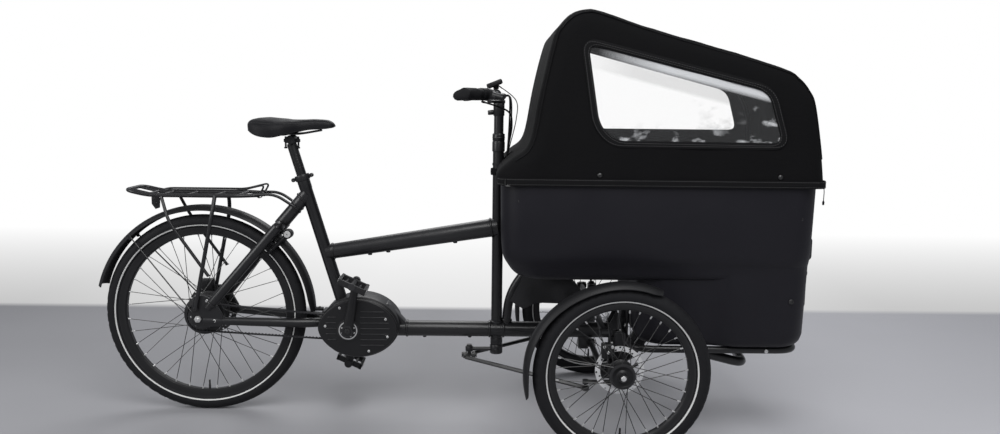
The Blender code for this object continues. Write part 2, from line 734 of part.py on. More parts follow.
def wheel_carrier():
    """Right-hand upright: kingpin sleeve, a bar behind it and a pin for each beam."""
    y = -KINGPIN_Y
    boss_front = TILT_BEAM_X + TILT_BOSS_LENGTH / 2 + GAP
    boss_rear = TILT_BEAM_X - TILT_BOSS_LENGTH / 2 - GAP
    sleeve = cylinder((KINGPIN_X, y, SLEEVE_LOW_Z), (KINGPIN_X, y, SLEEVE_HIGH_Z), CARRIER_SLEEVE_R)
    low_z = SLEEVE_LOW_Z + 0.001
    step_z = SLEEVE_HIGH_Z - 0.002
    top_z = UPPER_TILT_Z + 0.012
    bar = plate([(boss_front, low_z), (KINGPIN_X - 0.008, low_z), (KINGPIN_X - 0.008, step_z),
                 (KINGPIN_X - 0.020, step_z), (KINGPIN_X - 0.020, top_z), (boss_front, top_z)], 0.008, y)
    carrier = fuse(sleeve, bar)
    for z in (LOWER_TILT_Z, UPPER_TILT_Z):
        pin = cylinder((boss_rear - 0.003, y, z), (boss_front + 0.008, y, z), TILT_PIN_R)
        head = cylinder((boss_rear - 0.006, y, z), (boss_rear, y, z), TILT_PIN_R + 0.005, sides=6)
        carrier = fuse(carrier, pin, head)
    bore = cylinder((KINGPIN_X, y, 0.0), (KINGPIN_X, y, 0.6), bore_r(KINGPIN_R))
    return cut(carrier, bore)


def knuckle():
    """Right-hand knuckle: kingpin, two ears, outer plate, stub axle and steering arm."""
    y = -KINGPIN_Y
    plate_in = y - CARRIER_SLEEVE_R - 0.0005
    plate_out = plate_in - KNUCKLE_PLATE_T
    low_z = SLEEVE_LOW_Z - GAP - KNUCKLE_EAR_T
    high_z = SLEEVE_HIGH_Z + GAP + KNUCKLE_EAR_T
    upright = block((KINGPIN_X - 0.012, plate_out, low_z), (KINGPIN_X + 0.020, plate_in, high_z), bevel=0.003)
    lower_ear = block((KINGPIN_X - 0.012, plate_out + 0.002, low_z + 0.001),
                      (KINGPIN_X + 0.014, y + 0.012, SLEEVE_LOW_Z - GAP))
    upper_ear = block((KINGPIN_X - 0.012, plate_out + 0.002, SLEEVE_HIGH_Z + GAP),
                      (KINGPIN_X + 0.014, y + 0.012, high_z - 0.001))
    kingpin = cylinder((KINGPIN_X, y, low_z + 0.004), (KINGPIN_X, y, high_z - 0.004), KINGPIN_R)
    stub = cylinder((WHEELBASE, plate_in - 0.003, FRONT_TYRE_R),
                    (WHEELBASE, FRONT_AXLE.y - FRONT_HUB_W / 2 - 0.008, FRONT_TYRE_R), STUB_AXLE_R)
    nut = cylinder((WHEELBASE, FRONT_AXLE.y - FRONT_HUB_W / 2 - 0.0015, FRONT_TYRE_R),
                   (WHEELBASE, FRONT_AXLE.y - FRONT_HUB_W / 2 - 0.009, FRONT_TYRE_R), 0.0115, sides=6)
    arm_z = low_z + STEER_ARM_R - 0.002
    arm = tube([(KINGPIN_X - 0.004, y, arm_z), (BALL_X, y, arm_z)], STEER_ARM_R)
    eye = cylinder((BALL_X, y, arm_z - STEER_ARM_R), (BALL_X, y, arm_z + STEER_ARM_R), 0.009, sides=12)
    stud = cylinder((BALL_X, y, arm_z), (BALL_X, y, TIE_ROD_Z - 0.006), BALL_STUD_R, sides=8)
    return fuse(upright, lower_ear, upper_ear, kingpin, stub, nut, arm, eye, stud)


def front_wheel():
    half = FRONT_HUB_W / 2
    hub = [(0.024, half), (FRONT_HUB_R, half - 0.006), (FRONT_HUB_R, half - 0.014), (0.026, half - 0.022),
           (0.026, -half + 0.018), (FRONT_HUB_R, -half + 0.014), (FRONT_HUB_R, -half + 0.004),
           (DISC_SEAT_R, -half), (DISC_SEAT_R, FRONT_AXLE.y - FRONT_DISC_Y - 0.003)]
    return spoked_wheel(FRONT_AXLE, FRONT_RIM_R, FRONT_RIM_INNER_R, hub, FRONT_SPOKES, STUB_AXLE_R + GAP)


def brake_caliper(low, high, disc_y):
    """A rounded body with a slot that straddles the disc."""
    body = block(low, high, bevel=0.004)
    slot = DISC_T / 2 + 0.0016
    return cut(body, block((low[0] - 0.05, disc_y - slot, low[2] - 0.05),
                           (high[0] + 0.05, disc_y + slot, high[2] - 0.010)))


def front_caliper():
    return brake_caliper((1.262, -0.374, 0.294), (1.2995, -0.3450, 0.338), FRONT_DISC_Y)


def front_mudguard():
    """Blade over the wheel, carried by a stay that rises from the knuckle."""
    blade = mudguard(FRONT_AXLE, FRONT_GUARD_R, FRONT_GUARD_W, 66, 208, 16)
    foot_z = SLEEVE_HIGH_Z + GAP + KNUCKLE_EAR_T + GAP
    edge_y = FRONT_AXLE.y + FRONT_GUARD_W / 2
    foot = block((KINGPIN_X - 0.008, -KINGPIN_Y - 0.024, foot_z), (KINGPIN_X + 0.012, -KINGPIN_Y - 0.006,
                                                                  foot_z + 0.005))
    stay = tube(rounded_path([(KINGPIN_X, -KINGPIN_Y - 0.014, foot_z + 0.003),
                              (KINGPIN_X, -KINGPIN_Y - 0.018, foot_z + 0.030),
                              (KINGPIN_X, edge_y + 0.003, foot_z + 0.080),
                              (KINGPIN_X, edge_y - 0.001, FRONT_TYRE_R + FRONT_GUARD_R - 0.013)], 0.02), 0.004)
    return fuse(blade, foot, stay)


def steering_column():
    """Shaft through the head tube, pitman arm at its foot, riser above its collar."""
    shaft = cylinder((HEAD_X, 0, PITMAN_Z - 0.012), (HEAD_X, 0, STEM_TOP_Z - 0.05), STEER_SHAFT_R)
    collar = cylinder((HEAD_X, 0, HEAD_TOP_Z + GAP), (HEAD_X, 0, HEAD_TOP_Z + 0.024), HEAD_R + 0.002)
    riser = cylinder((HEAD_X, 0, HEAD_TOP_Z + 0.020), (HEAD_X, 0, STEM_TOP_Z - 0.045), HEAD_R - 0.0025)
    boss = cylinder((HEAD_X, 0, PITMAN_Z - 0.014), (HEAD_X, 0, HEAD_BOTTOM_Z - GAP), HEAD_R + 0.003)
    arm = tube([(HEAD_X, 0, PITMAN_Z), (PITMAN_X, 0, PITMAN_Z)], 0.0075)
    eye = cylinder((PITMAN_X, 0, PITMAN_Z - 0.008), (PITMAN_X, 0, PITMAN_Z + 0.008), 0.013)
    column = fuse(shaft, collar, riser, boss, arm, eye)
    return cut(column, cylinder((PITMAN_X, 0, 0.1), (PITMAN_X, 0, 0.3), 0.006 + GAP))


def tie_rod_pin():
    """A stud that turns in the pitman arm, with a cross pin for both rods."""
    stud = cylinder((PITMAN_X, 0, TIE_ROD_Z), (PITMAN_X, 0, PITMAN_Z + 0.010), 0.006)
    head = cylinder((PITMAN_X, 0, PITMAN_Z + 0.008 + GAP), (PITMAN_X, 0, PITMAN_Z + 0.014), 0.010, sides=6)
    cross = cylinder((PITMAN_X - 0.024, 0, TIE_ROD_Z), (PITMAN_X + 0.024, 0, TIE_ROD_Z), TIE_ROD_PIN_R)
    ends = [cylinder((PITMAN_X + end * 0.0215, 0, TIE_ROD_Z), (PITMAN_X + end * 0.025, 0, TIE_ROD_Z), 0.009,
                     sides=6) for end in (-1, 1)]
    return fuse(stud, head, cross, *ends)


def tie_rod(side):
    """A rod from the pitman pin to the steering arm's stud, bored at both ends."""
    eye_x = PITMAN_X + side * 0.014
    half = 0.0065
    inner = cylinder((eye_x - half, 0, TIE_ROD_Z), (eye_x + half, 0, TIE_ROD_Z), TIE_ROD_EYE_R)
    outer = cylinder((BALL_X, side * KINGPIN_Y, TIE_ROD_Z - 0.005), (BALL_X, side * KINGPIN_Y, TIE_ROD_Z + 0.005),
                     TIE_ROD_EYE_R + 0.001)
    rod = tube(rounded_path([(eye_x, side * 0.004, TIE_ROD_Z), (eye_x, side * 0.026, TIE_ROD_Z),
                             (BALL_X - 0.004, side * (KINGPIN_Y - 0.006), TIE_ROD_Z)], 0.012), TIE_ROD_R)
    whole = fuse(inner, outer, rod)
    pin_bore = cylinder((eye_x - 0.03, 0, TIE_ROD_Z), (eye_x + 0.03, 0, TIE_ROD_Z), TIE_ROD_PIN_R + GAP)
    stud_bore = cylinder((BALL_X, side * KINGPIN_Y, TIE_ROD_Z - 0.05), (BALL_X, side * KINGPIN_Y, TIE_ROD_Z + 0.05),
                         BALL_STUD_R + 0.0025)
    return cut(whole, pin_bore, stud_bore)


def loft(rings):
    """A closed skin through rings of equal point counts, capped at both ends."""
    bm = bmesh.new()
    rows = [[bm.verts.new(point) for point in ring] for ring in rings]
    count = len(rows[0])
    for lower, upper in zip(rows, rows[1:]):
        for index in range(count):
            following = (index + 1) % count
            bm.faces.new((lower[index], lower[following], upper[following], upper[index]))
    bm.faces.new(reversed(rows[0]))
    bm.faces.new(rows[-1])
    return from_bmesh(bm)


def corner_arc(x, y, first_deg, radius=BOX_CORNER_R, steps=3):
    """Points of a quarter circle round (x, y)."""
    angles = [math.radians(first_deg + 90 * step / steps) for step in range(steps + 1)]
    return [(x + radius * math.cos(angle), y + radius * math.sin(angle)) for angle in angles]


def box_ring(z, rear_x, front_x, half_w, groove_x, front_half_w=None):
    """One level of the box: a rounded rectangle, grooved behind the head tube or wider in front."""
    front_w = front_half_w or half_w
    left = corner_arc(front_x - BOX_CORNER_R, front_w - BOX_CORNER_R, 0)
    if front_half_w:
        left += [(FLARE_REAR_X + FLARE_LENGTH, front_half_w), (FLARE_REAR_X, half_w)]
    left += corner_arc(rear_x + BOX_CORNER_R, half_w - BOX_CORNER_R, 90)
    left += [(rear_x, GROOVE_MOUTH), (max(rear_x, groove_x), GROOVE_HALF_W)]
    right = [(x, -y) for x, y in reversed(left)]
    return [(x, y, z) for x, y in left + right]


# Level, set back at the rear, narrowing of the side
TUB_LEVELS = [
    (BOX_FLOOR_Z, 0.080, 0.075),
    (BOX_FLOOR_Z + 0.015, 0.044, 0.045),
    (BOX_FLOOR_Z + 0.040, 0.024, 0.033),
    (BOX_FLOOR_Z + 0.080, 0.006, 0.016),
    (BOX_RIM_Z, 0.0, 0.0),
]
# Level, set back at both ends, narrowing beside the wheels and ahead of them
FOOTWELL_LEVELS = [
    (FOOTWELL_FLOOR_Z, 0.030, 0.035, 0.035),
    (FOOTWELL_FLOOR_Z + 0.011, 0.012, 0.012, 0.012),
    (FOOTWELL_FLOOR_Z + 0.040, 0.0, 0.0, 0.0),
    (BOX_FLOOR_Z + 0.060, 0.0, -0.012, -0.0165),
]


def tub(inset, top_z):
    """The upper box, drawn in all round by inset."""
    groove = HEAD_X + HEAD_R + GROOVE_GAP + inset
    rings = []
    for z, back, narrow in TUB_LEVELS:
        level = top_z if z == BOX_RIM_Z else z + inset
        half_w = BOX_TOP_HALF_W - narrow - inset
        rings.append(box_ring(level, BOX_REAR_X + back + inset, BOX_FRONT_X - inset, half_w, groove))
    return loft(rings)


def footwell(inset):
    """The deep front of the box, drawn in all round by inset."""
    rings = []
    for z, back, narrow, front_narrow in FOOTWELL_LEVELS:
        rear_x = FOOTWELL_REAR_X + back + inset
        front_x = BOX_FRONT_X - SKIN_STEP - back - inset
        half_w = FOOTWELL_HALF_W - narrow - inset
        front_w = FOOTWELL_FRONT_HALF_W - front_narrow - inset
        rings.append(box_ring(z + inset, rear_x, front_x, half_w, rear_x, front_w))
    return loft(rings)


def cargo_box():
    """Moulded tub with a deep footwell in front and a doorway in its front wall."""
    shell = fuse(tub(0.0, BOX_RIM_Z), footwell(0.0))
    shell = cut(shell, tub(BOX_WALL, BOX_RIM_Z + CUT_PAST), footwell(BOX_WALL))
    doorway = block((BOX_FRONT_X - CUT_PAST, -DOOR_HALF_W, DOOR_LOW_Z),
                    (BOX_FRONT_X + CUT_PAST, DOOR_HALF_W, DOOR_HIGH_Z))
    return cut(shell, doorway)


def front_door():
    """Door leaf in the front wall, with its hinge barrels on the left edge."""
    leaf = block((BOX_FRONT_X - DOOR_T, -DOOR_HALF_W + RUN_GAP, DOOR_LOW_Z + RUN_GAP),
                 (BOX_FRONT_X + DOOR_PROUD, DOOR_HALF_W - RUN_GAP, DOOR_HIGH_Z - RUN_GAP), bevel=DOOR_PROUD)
    for z in (DOOR_LOW_Z + HINGE_INSET, DOOR_HIGH_Z - HINGE_INSET):
        low, high = z - HINGE_LENGTH / 2, z + HINGE_LENGTH / 2
        barrel = cylinder((DOOR_HINGE_X, DOOR_HINGE_Y, low), (DOOR_HINGE_X, DOOR_HINGE_Y, high), HINGE_R, sides=8)
        strap = block((BOX_FRONT_X + SKIN_STEP, DOOR_HALF_W - HINGE_LENGTH / 2, low + RUN_GAP),
                      (BOX_FRONT_X + DOOR_PROUD - SKIN_STEP, DOOR_HINGE_Y, high - RUN_GAP))
        leaf = fuse(leaf, barrel, strap)
    return leaf


def floor_frame():
    """Tube loop under the footwell whose front is the bumper, and a step tube below it."""
    z = FOOTWELL_FLOOR_Z - GAP - BUMPER_R
    half = FOOTWELL_HALF_W - FLOOR_FRAME_INSET
    front = BOX_FRONT_X - FLOOR_FRAME_INSET
    rear = FOOTWELL_REAR_X - BUMPER_R - 0.001
    corners = [(front, half, z), (rear, half, z), (rear, BUMPER_R, z)]
    loop_path = [(x, -y, level) for x, y, level in reversed(corners)] + corners
    loop = tube(rounded_path(loop_path, BUMPER_BEND_R), BUMPER_R)
    flange = block((BEAM_FRONT_X + GAP, -FLANGE_HALF_W, z - BEAM_R),
                   (rear + BUMPER_R / 3, FLANGE_HALF_W, z + BUMPER_R - 0.001), bevel=0.003)
    cross = cylinder((FLOOR_CROSS_X, -half, z), (FLOOR_CROSS_X, half, z), BUMPER_R - 0.001)
    step_y = half - FLANGE_HALF_W
    top_z = z + BUMPER_R - STEP_R - 0.002
    near = [(FLOOR_CROSS_X, -step_y, top_z), (STEP_FRONT_X - STEP_BOW, -step_y, STEP_Z + 0.006)]
    far = [(x, -y, level) for x, y, level in reversed(near)]
    step = tube(rounded_path(near + [(STEP_FRONT_X, 0, STEP_Z)] + far, STEP_BEND_R), STEP_R, resolution=2)
    return fuse(loop, flange, cross, step)


def cushion(low, high, crown, rows=4):
    """A padded block: crowned on top, with its sides drawn in between the corners."""
    low, high = Vector(low), Vector(high)
    mid = (low + high) / 2
    half = (high - low) / 2
    bm = bmesh.new()
    bmesh.ops.create_cube(bm, size=2.0)
    bmesh.ops.subdivide_edges(bm, edges=bm.edges, cuts=rows, use_grid_fill=True)
    for vert in bm.verts:
        u, v, w = vert.co
        belly = (1 - u * u) * (1 - v * v)
        draw = 1 - 0.020 * (1 - u ** 2 if abs(v) > 0.99 else 0) - 0.012 * (1 - v ** 2 if abs(u) > 0.99 else 0)
        height = half.z * w
        if w > 0:
            height += crown * (belly - 1) * w
        round_in = 1 - 0.030 * w * w
        vert.co = mid + Vector((u * half.x * draw * round_in, v * half.y * draw * round_in, height))
    return from_bmesh(bm)


BENCH_LOW_Z = BOX_FLOOR_Z + BOX_WALL + 0.100
BATTERY_TOP_Z = BENCH_LOW_Z - GAP


def battery_pack():
    return block((1.085, -0.190, BOX_FLOOR_Z + BOX_WALL + GAP), (1.330, 0.190, BATTERY_TOP_Z), bevel=0.012)


def bench_seat():
    return cushion((1.020, -0.265, BENCH_LOW_Z), (1.360, 0.265, BENCH_LOW_Z + 0.075), 0.022)


HOOD_SIDE = [(0.955, HOOD_HEM_Z), (0.957, 0.828), (1.000, 0.870), (1.046, 0.915), (1.076, 1.065), (1.110, 1.216),
             (1.130, 1.254), (1.164, 1.287), (HOOD_PEAK_X, HOOD_PEAK_Z), (1.252, 1.295), (1.425, 1.240),
             (1.770, 1.144), (1.831, 1.113), (1.864, 1.076), (1.883, 1.031), (1.903, 0.902),
             (HOOD_FRONT_X, HOOD_HEM_Z)]
HOOD_LEAN = (HOOD_HALF_W - HOOD_TOP_HALF_W) / (HOOD_PEAK_Z - HOOD_HEM_Z)
WINDOW_CORNERS = [(1.202, 1.206), (1.738, 1.074), (1.784, 0.912), (1.288, 0.915), (1.240, 0.965)]


def hood_half_w(z):
    return HOOD_HALF_W - HOOD_LEAN * (z - HOOD_HEM_Z)


def rounded_outline(corners, radius, steps=3):
    """A closed outline in the XZ plane with its corners rounded."""
    looped = [(x, 0, z) for x, z in corners]
    path = rounded_path([looped[-1]] + looped + [looped[0]], radius, steps)
    return [(point[0], point[2]) for point in path[1:-1]]


def hood_fabric():
    """One sheet over the hoops, hem outside the box rim, open for the windows and the head tube."""
    bm = bmesh.new()
    right = [bm.verts.new((x, -hood_half_w(z), z)) for x, z in HOOD_SIDE]
    left = [bm.verts.new((x, hood_half_w(z), z)) for x, z in HOOD_SIDE]
    for index in range(len(HOOD_SIDE) - 1):
        bm.faces.new((right[index], right[index + 1], left[index + 1], left[index]))
    bm.faces.new(reversed(right))
    bm.faces.new(left)
    hood = from_bmesh(bm)
    rounding = hood.modifiers.new("rounding", "BEVEL")
    rounding.width = HOOD_EDGE_R
    rounding.segments = 3
    rounding.limit_method = "ANGLE"
    rounding.angle_limit = math.radians(60)
    skin = hood.modifiers.new("skin", "SOLIDIFY")
    skin.thickness = HOOD_T
    skin.offset = -1
    hood = evaluated_copy(hood)
    windows = plate(rounded_outline(WINDOW_CORNERS, 0.035), 0.6)
    notch = cylinder((HEAD_X, 0, 0.6), (HEAD_X, 0, 1.0), HEAD_R + 0.028)
    return cut(hood, windows, notch)


def hood_window():
    """Right-hand clear panel, set in its opening on the leaning side."""
    corners = [Vector(corner) for corner in WINDOW_CORNERS]
    middle = sum(corners, Vector((0, 0))) / len(corners)
    inset = [middle + (corner - middle) * (1 - 0.003) for corner in corners]
    pane = plate(rounded_outline(inset, 0.035), WINDOW_T / 2)
    lean = Matrix.Identity(4)
    lean[1][2] = HOOD_LEAN
    lean[1][3] = -HOOD_HALF_W - HOOD_LEAN * HOOD_HEM_Z + HOOD_T / 2
    pane.data.transform(lean)
    return pane


def hood_frame():
    """Two bent hoops tied by top bars, standing on the box rim."""
    foot_z = BOX_RIM_Z + GAP
    rear = [(1.100, 0.302, foot_z + 0.003), (1.130, 0.284, 1.100), (1.200, 0.258, 1.276)]
    front = [(1.868, 0.300, foot_z + 0.003), (1.846, 0.284, 1.010), (1.796, 0.268, 1.094)]
    pieces = []
    for hoop in (rear, front):
        path = [(x, -y, z) for x, y, z in hoop] + list(reversed(hoop))
        pieces.append(tube(rounded_path(path, 0.06), HOOP_R))
        foot = hoop[0]
        for side in (-1, 1):
            pieces.append(block((foot[0] - 0.012, side * foot[1] - 0.0085, foot_z),
                                (foot[0] + 0.012, side * foot[1] + 0.0085, foot_z + 0.006)))
    for side in (-1, 1):
        pieces.append(tube([(rear[-1][0], side * 0.16, rear[-1][2]), (front[-1][0], side * 0.16, front[-1][2])],
                           HOOP_R * 0.8))
    return fuse(*pieces)


def rear_mudguard():
    """Blade over the rear wheel with wire stays and a bracket to the frame."""
    blade = mudguard(REAR_AXLE, REAR_GUARD_R, REAR_GUARD_W, 1.5, REAR_GUARD_END_DEG, 22)
    bracket = block((REAR_GUARD_R - 0.010, -0.010, REAR_TYRE_R + 0.010), (0.384 - GAP, 0.010, REAR_TYRE_R + 0.020))
    pieces = [blade, bracket]
    angle = math.radians(132)
    for side in (-1, 1):
        pieces.append(tube([(-0.015, side * (DROPOUT_Y - DROPOUT_T / 2 - GAP - 0.0028), REAR_TYRE_R + 0.010),
                            (math.cos(angle) * 0.345, side * (REAR_GUARD_W / 2 - 0.001),
                             REAR_TYRE_R + math.sin(angle) * 0.345)], 0.0025))
    return fuse(*pieces)


def rear_carrier():
    """Rod carrier: two side rails with a raised tail, cross rods, legs and front rods."""
    rod = CARRIER_ROD_R
    z = CARRIER_Z
    rails = tube(rounded_path([(CARRIER_FRONT_X, -CARRIER_HALF_W * 0.6, z), (0.130, -CARRIER_HALF_W, z),
                               (-0.150, -CARRIER_HALF_W, z), (CARRIER_REAR_X, -CARRIER_HALF_W, z + 0.016),
                               (CARRIER_REAR_X, CARRIER_HALF_W, z + 0.016), (-0.150, CARRIER_HALF_W, z),
                               (0.130, CARRIER_HALF_W, z), (CARRIER_FRONT_X, CARRIER_HALF_W * 0.6, z)], 0.03), rod)
    pieces = [rails]
    for x in (-0.110, -0.030, 0.060, 0.130):
        pieces.append(cylinder((x, -CARRIER_HALF_W, z), (x, CARRIER_HALF_W, z), rod * 0.8, sides=8))
    pieces.append(cylinder((CARRIER_FRONT_X, -CARRIER_HALF_W * 0.62, z), (CARRIER_FRONT_X, CARRIER_HALF_W * 0.62, z),
                           rod, sides=8))
    eye_y = DROPOUT_Y + DROPOUT_T / 2 + GAP
    stay_axis = STAY_YOKE - seat_tube_point(0.728)
    grip_point = seat_tube_point(0.728) + stay_axis * 0.40
    for side in (-1, 1):
        pieces.append(tube(rounded_path([(0.060, side * CARRIER_HALF_W, z), (0.056, side * (eye_y + 0.006), z - 0.06),
                                         (-0.006, side * (eye_y + 0.006), 0.362)], 0.03), rod * 0.85))
        pieces.append(tube(rounded_path([(-0.110, side * CARRIER_HALF_W, z), (-0.080, side * (eye_y + 0.006), z - 0.08),
                                         (0.040, side * (eye_y + 0.007), 0.470)], 0.03), rod * 0.7))
        pieces.append(cylinder((-0.006, side * eye_y, 0.362), (-0.006, side * (eye_y + 0.008), 0.362), 0.008, sides=10))
        pieces.append(tube(rounded_path([(CARRIER_FRONT_X - 0.050, side * CARRIER_HALF_W * 0.80, z),
                                         (0.240, side * 0.034, z + 0.004),
                                         (grip_point.x, side * (MONO_STAY_R + GAP + 0.005), grip_point.z)], 0.03),
                           rod * 0.8))
    return fuse(*pieces)


def carrier_clip():
    """Sprung bail that lies over the carrier and lifts at its front rod."""
    z = CARRIER_Z + CARRIER_ROD_R * 2 + 0.002
    pivot = Vector((CARRIER_FRONT_X, 0, CARRIER_Z))
    bail = tube(rounded_path([(pivot.x, -0.030, pivot.z + 0.0005), (pivot.x + 0.020, -0.030, pivot.z + 0.034),
                              (0.130, -0.030, z), (-0.120, -0.030, z), (-0.120, 0.030, z), (0.130, 0.030, z),
                              (pivot.x + 0.020, 0.030, pivot.z + 0.034), (pivot.x, 0.030, pivot.z + 0.0005)], 0.02), 0.003,
                resolution=0)
    for side in (-1, 1):
        bail = fuse(bail, cylinder((pivot.x, side * 0.024, pivot.z), (pivot.x, side * 0.034, pivot.z), 0.0095))
    return cut(bail, cylinder((pivot.x, -0.1, pivot.z), (pivot.x, 0.1, pivot.z), CARRIER_ROD_R + GAP * 2))


def ring_lock():
    """Horseshoe round the tyre with its barrel at the front."""
    angle = math.radians(44)
    outward = Vector((math.cos(angle), 0, math.sin(angle)))
    arm_y = 0.0405
    path = [REAR_AXLE + outward * 0.296 + Vector((0, -arm_y, 0)), REAR_AXLE + outward * 0.376 + Vector((0, -arm_y, 0)),
            REAR_AXLE + outward * 0.376 + Vector((0, arm_y, 0)), REAR_AXLE + outward * 0.296 + Vector((0, arm_y, 0))]
    horseshoe = tube(rounded_path(path, 0.02), 0.006)
    barrel_at = REAR_AXLE + outward * 0.381 + Vector((0, -0.020, 0))
    barrel = cylinder(barrel_at + Vector((0, -0.026, 0)), barrel_at + Vector((0, 0.004, 0)), 0.0115)
    pieces = [horseshoe, barrel]
    for side in (-1, 1):
        start = REAR_AXLE + outward * 0.335 + Vector((0, side * arm_y, 0))
        stay_low = Vector((0.030, side * DROPOUT_Y, 0.362))
        stay = (STAY_YOKE + Vector((-0.004, side * 0.060, -0.008)) - stay_low).normalized()
        near = stay_low + stay * (start - stay_low).dot(stay)
        reach = (near - start).length - SEAT_STAY_R - GAP
        pieces.append(cylinder(start, start + (near - start).normalized() * reach, 0.0045, sides=8))
    return fuse(*pieces)


def rear_caliper():
    return brake_caliper((-0.040, REAR_DISC_Y - 0.011, 0.384),
                         (0.004, DROPOUT_Y - DROPOUT_T / 2 - GAP, 0.428), REAR_DISC_Y)


def rear_wheel():
    hub = [(0.016, 0.052), (0.050, 0.049), (REAR_HUB_R, 0.036), (REAR_HUB_R, -0.030), (0.044, -0.044),
           (0.018, -0.050), (0.018, -0.064)]
    return spoked_wheel(REAR_AXLE, REAR_RIM_R, REAR_RIM_INNER_R, hub, REAR_SPOKES, AXLE_R + GAP)


def seat_clamp():
    """Split collar on the top of the seat tube, with its bolt ears in front and behind."""
    low = seat_tube_point(SEAT_TUBE_TOP_Z + GAP)
    high = seat_tube_point(SEAT_TUBE_TOP_Z + 0.018)
    ring = cylinder(low, high, SEAT_TUBE_R + 0.004)
    middle = (low + high) / 2
    along = (high - low).normalized()
    across = Vector((along.z, 0, -along.x)) * 0.030
    half = Vector((0, 0.008, 0))
    ears = [cylinder(middle + side * across - half, middle + side * across + half, 0.0065, sides=8)
            for side in (-1, 1)]
    arms = [tube([middle, middle + side * across], 0.005) for side in (-1, 1)]
    clamp = fuse(ring, *arms, *ears)
    return cut(clamp, cylinder(low - along * 0.05, high + along * 0.05, SEAT_POST_R + GAP))


def seat_post():
    """Post with a clamp head for the saddle rails."""
    top = seat_tube_point(SEAT_POST_TOP_Z)
    post = cylinder(seat_tube_point(SEAT_TUBE_TOP_Z - SEAT_POST_IN), top, SEAT_POST_R)
    head = cylinder(top + Vector((0.002, -0.026, 0.012)), top + Vector((0.002, 0.026, 0.012)), 0.015)
    return fuse(post, head)


RAIL_Z = SEAT_POST_TOP_Z + 0.012 + 0.015 + 0.0035 + GAP


def saddle_rails():
    """Two rods under the saddle, tied at nose and tail, resting on the post head."""
    tail_x = SADDLE_NOSE_X - SADDLE_LENGTH
    loops = []
    for side in (-1, 1):
        loops.append(tube(rounded_path([(tail_x + 0.055, side * 0.040, RAIL_Z + 0.012),
                                        (tail_x + 0.085, side * 0.021, RAIL_Z),
                                        (SADDLE_NOSE_X - 0.110, side * 0.021, RAIL_Z),
                                        (SADDLE_NOSE_X - 0.045, side * 0.009, RAIL_Z + 0.012)], 0.02), 0.0035))
    nose = cylinder((SADDLE_NOSE_X - 0.046, -0.010, RAIL_Z + 0.0118), (SADDLE_NOSE_X - 0.046, 0.010, RAIL_Z + 0.0118),
                    0.0035, sides=8)
    tail = cylinder((tail_x + 0.056, -0.041, RAIL_Z + 0.0118), (tail_x + 0.056, 0.041, RAIL_Z + 0.0118), 0.0035,
                    sides=8)
    return fuse(*loops, nose, tail)


def saddle():
    """Padded saddle lofted from tail to nose, with a crowned back and a slim nose."""
    tail_x = SADDLE_NOSE_X - SADDLE_LENGTH
    base_z = RAIL_Z + 0.0155 + GAP
    stations = [(0.00, 0.58, -0.004, 0.016), (0.05, 0.86, 0.001, 0.026), (0.16, 1.00, 0.0, 0.040),
                (0.30, 0.94, -0.004, 0.040), (0.45, 0.66, -0.007, 0.040), (0.60, 0.40, -0.006, 0.040),
                (0.78, 0.29, -0.003, 0.040), (0.93, 0.25, -0.008, 0.030), (1.00, 0.15, -0.014, 0.012)]
    rings = []
    for share, width, rise, depth in stations:
        x = tail_x + SADDLE_LENGTH * share
        top = SADDLE_TOP_Z + rise
        low = max(base_z, top - depth)
        half = SADDLE_WIDTH * width / 2
        mid = (top + low) / 2
        ring = []
        for step in range(12):
            angle = 2 * math.pi * step / 12
            y = half * math.copysign(abs(math.cos(angle)) ** 0.8, math.cos(angle))
            z = mid + (top - low) / 2 * math.copysign(abs(math.sin(angle)) ** 0.7, math.sin(angle))
            ring.append((x, y, z))
        rings.append(ring)
    return loft(rings)


def bar_end(side):
    return Vector((BAR_X - BAR_SWEEP, side * BAR_HALF_W, BAR_Z))


def bar_point(side, inward):
    """A place on the swept part of the bar, measured inward from its end."""
    bend = Vector((BAR_X, side * BAR_BEND_Y, BAR_Z))
    return bar_end(side) + (bend - bar_end(side)).normalized() * inward


def stem():
    """Clamp on the riser that carries the bar, with its clamp knob behind."""
    foot_z = STEM_TOP_Z - 0.045 + GAP
    post = cylinder((HEAD_X, 0, foot_z), (HEAD_X, 0, STEM_TOP_Z + 0.006), HEAD_R)
    bridge = tube([(HEAD_X, 0, STEM_TOP_Z - 0.008), (BAR_X, 0, BAR_Z)], 0.015)
    clamp = cylinder((BAR_X, -0.024, BAR_Z), (BAR_X, 0.024, BAR_Z), BAR_CLAMP_R)
    knob = cylinder((HEAD_X, 0, foot_z + 0.014), (HEAD_X - 0.036, 0, foot_z + 0.010), 0.008)
    whole = fuse(post, bridge, clamp, knob)
    return cut(whole, cylinder((BAR_X, -0.05, BAR_Z), (BAR_X, 0.05, BAR_Z), bore_r(BAR_R)))


def lever_pivot(side):
    return bar_point(side, LEVER_INWARD) + Vector(LEVER_OFFSET)


def handlebar():
    """Swept bar with a lever perch and its pin on each side."""
    path = [bar_end(-1), (BAR_X, -BAR_BEND_Y, BAR_Z), (BAR_X, BAR_BEND_Y, BAR_Z), bar_end(1)]
    bar = tube(rounded_path(path, 0.045), BAR_R, resolution=3)
    for side in (-1, 1):
        pivot = lever_pivot(side)
        clamp = cylinder(bar_point(side, LEVER_INWARD - 0.009), bar_point(side, LEVER_INWARD + 0.009), BAR_CLAMP_R)
        arm = tube([bar_point(side, LEVER_INWARD), pivot], 0.006)
        pin = cylinder(pivot, pivot + Vector((0, 0, -0.017)), LEVER_PIN_R, sides=8)
        head = cylinder(pivot + Vector((0, 0, -0.0165)), pivot + Vector((0, 0, -0.019)), LEVER_PIN_R + 0.003, sides=8)
        bar = fuse(bar, clamp, arm, pin, head)
    return bar


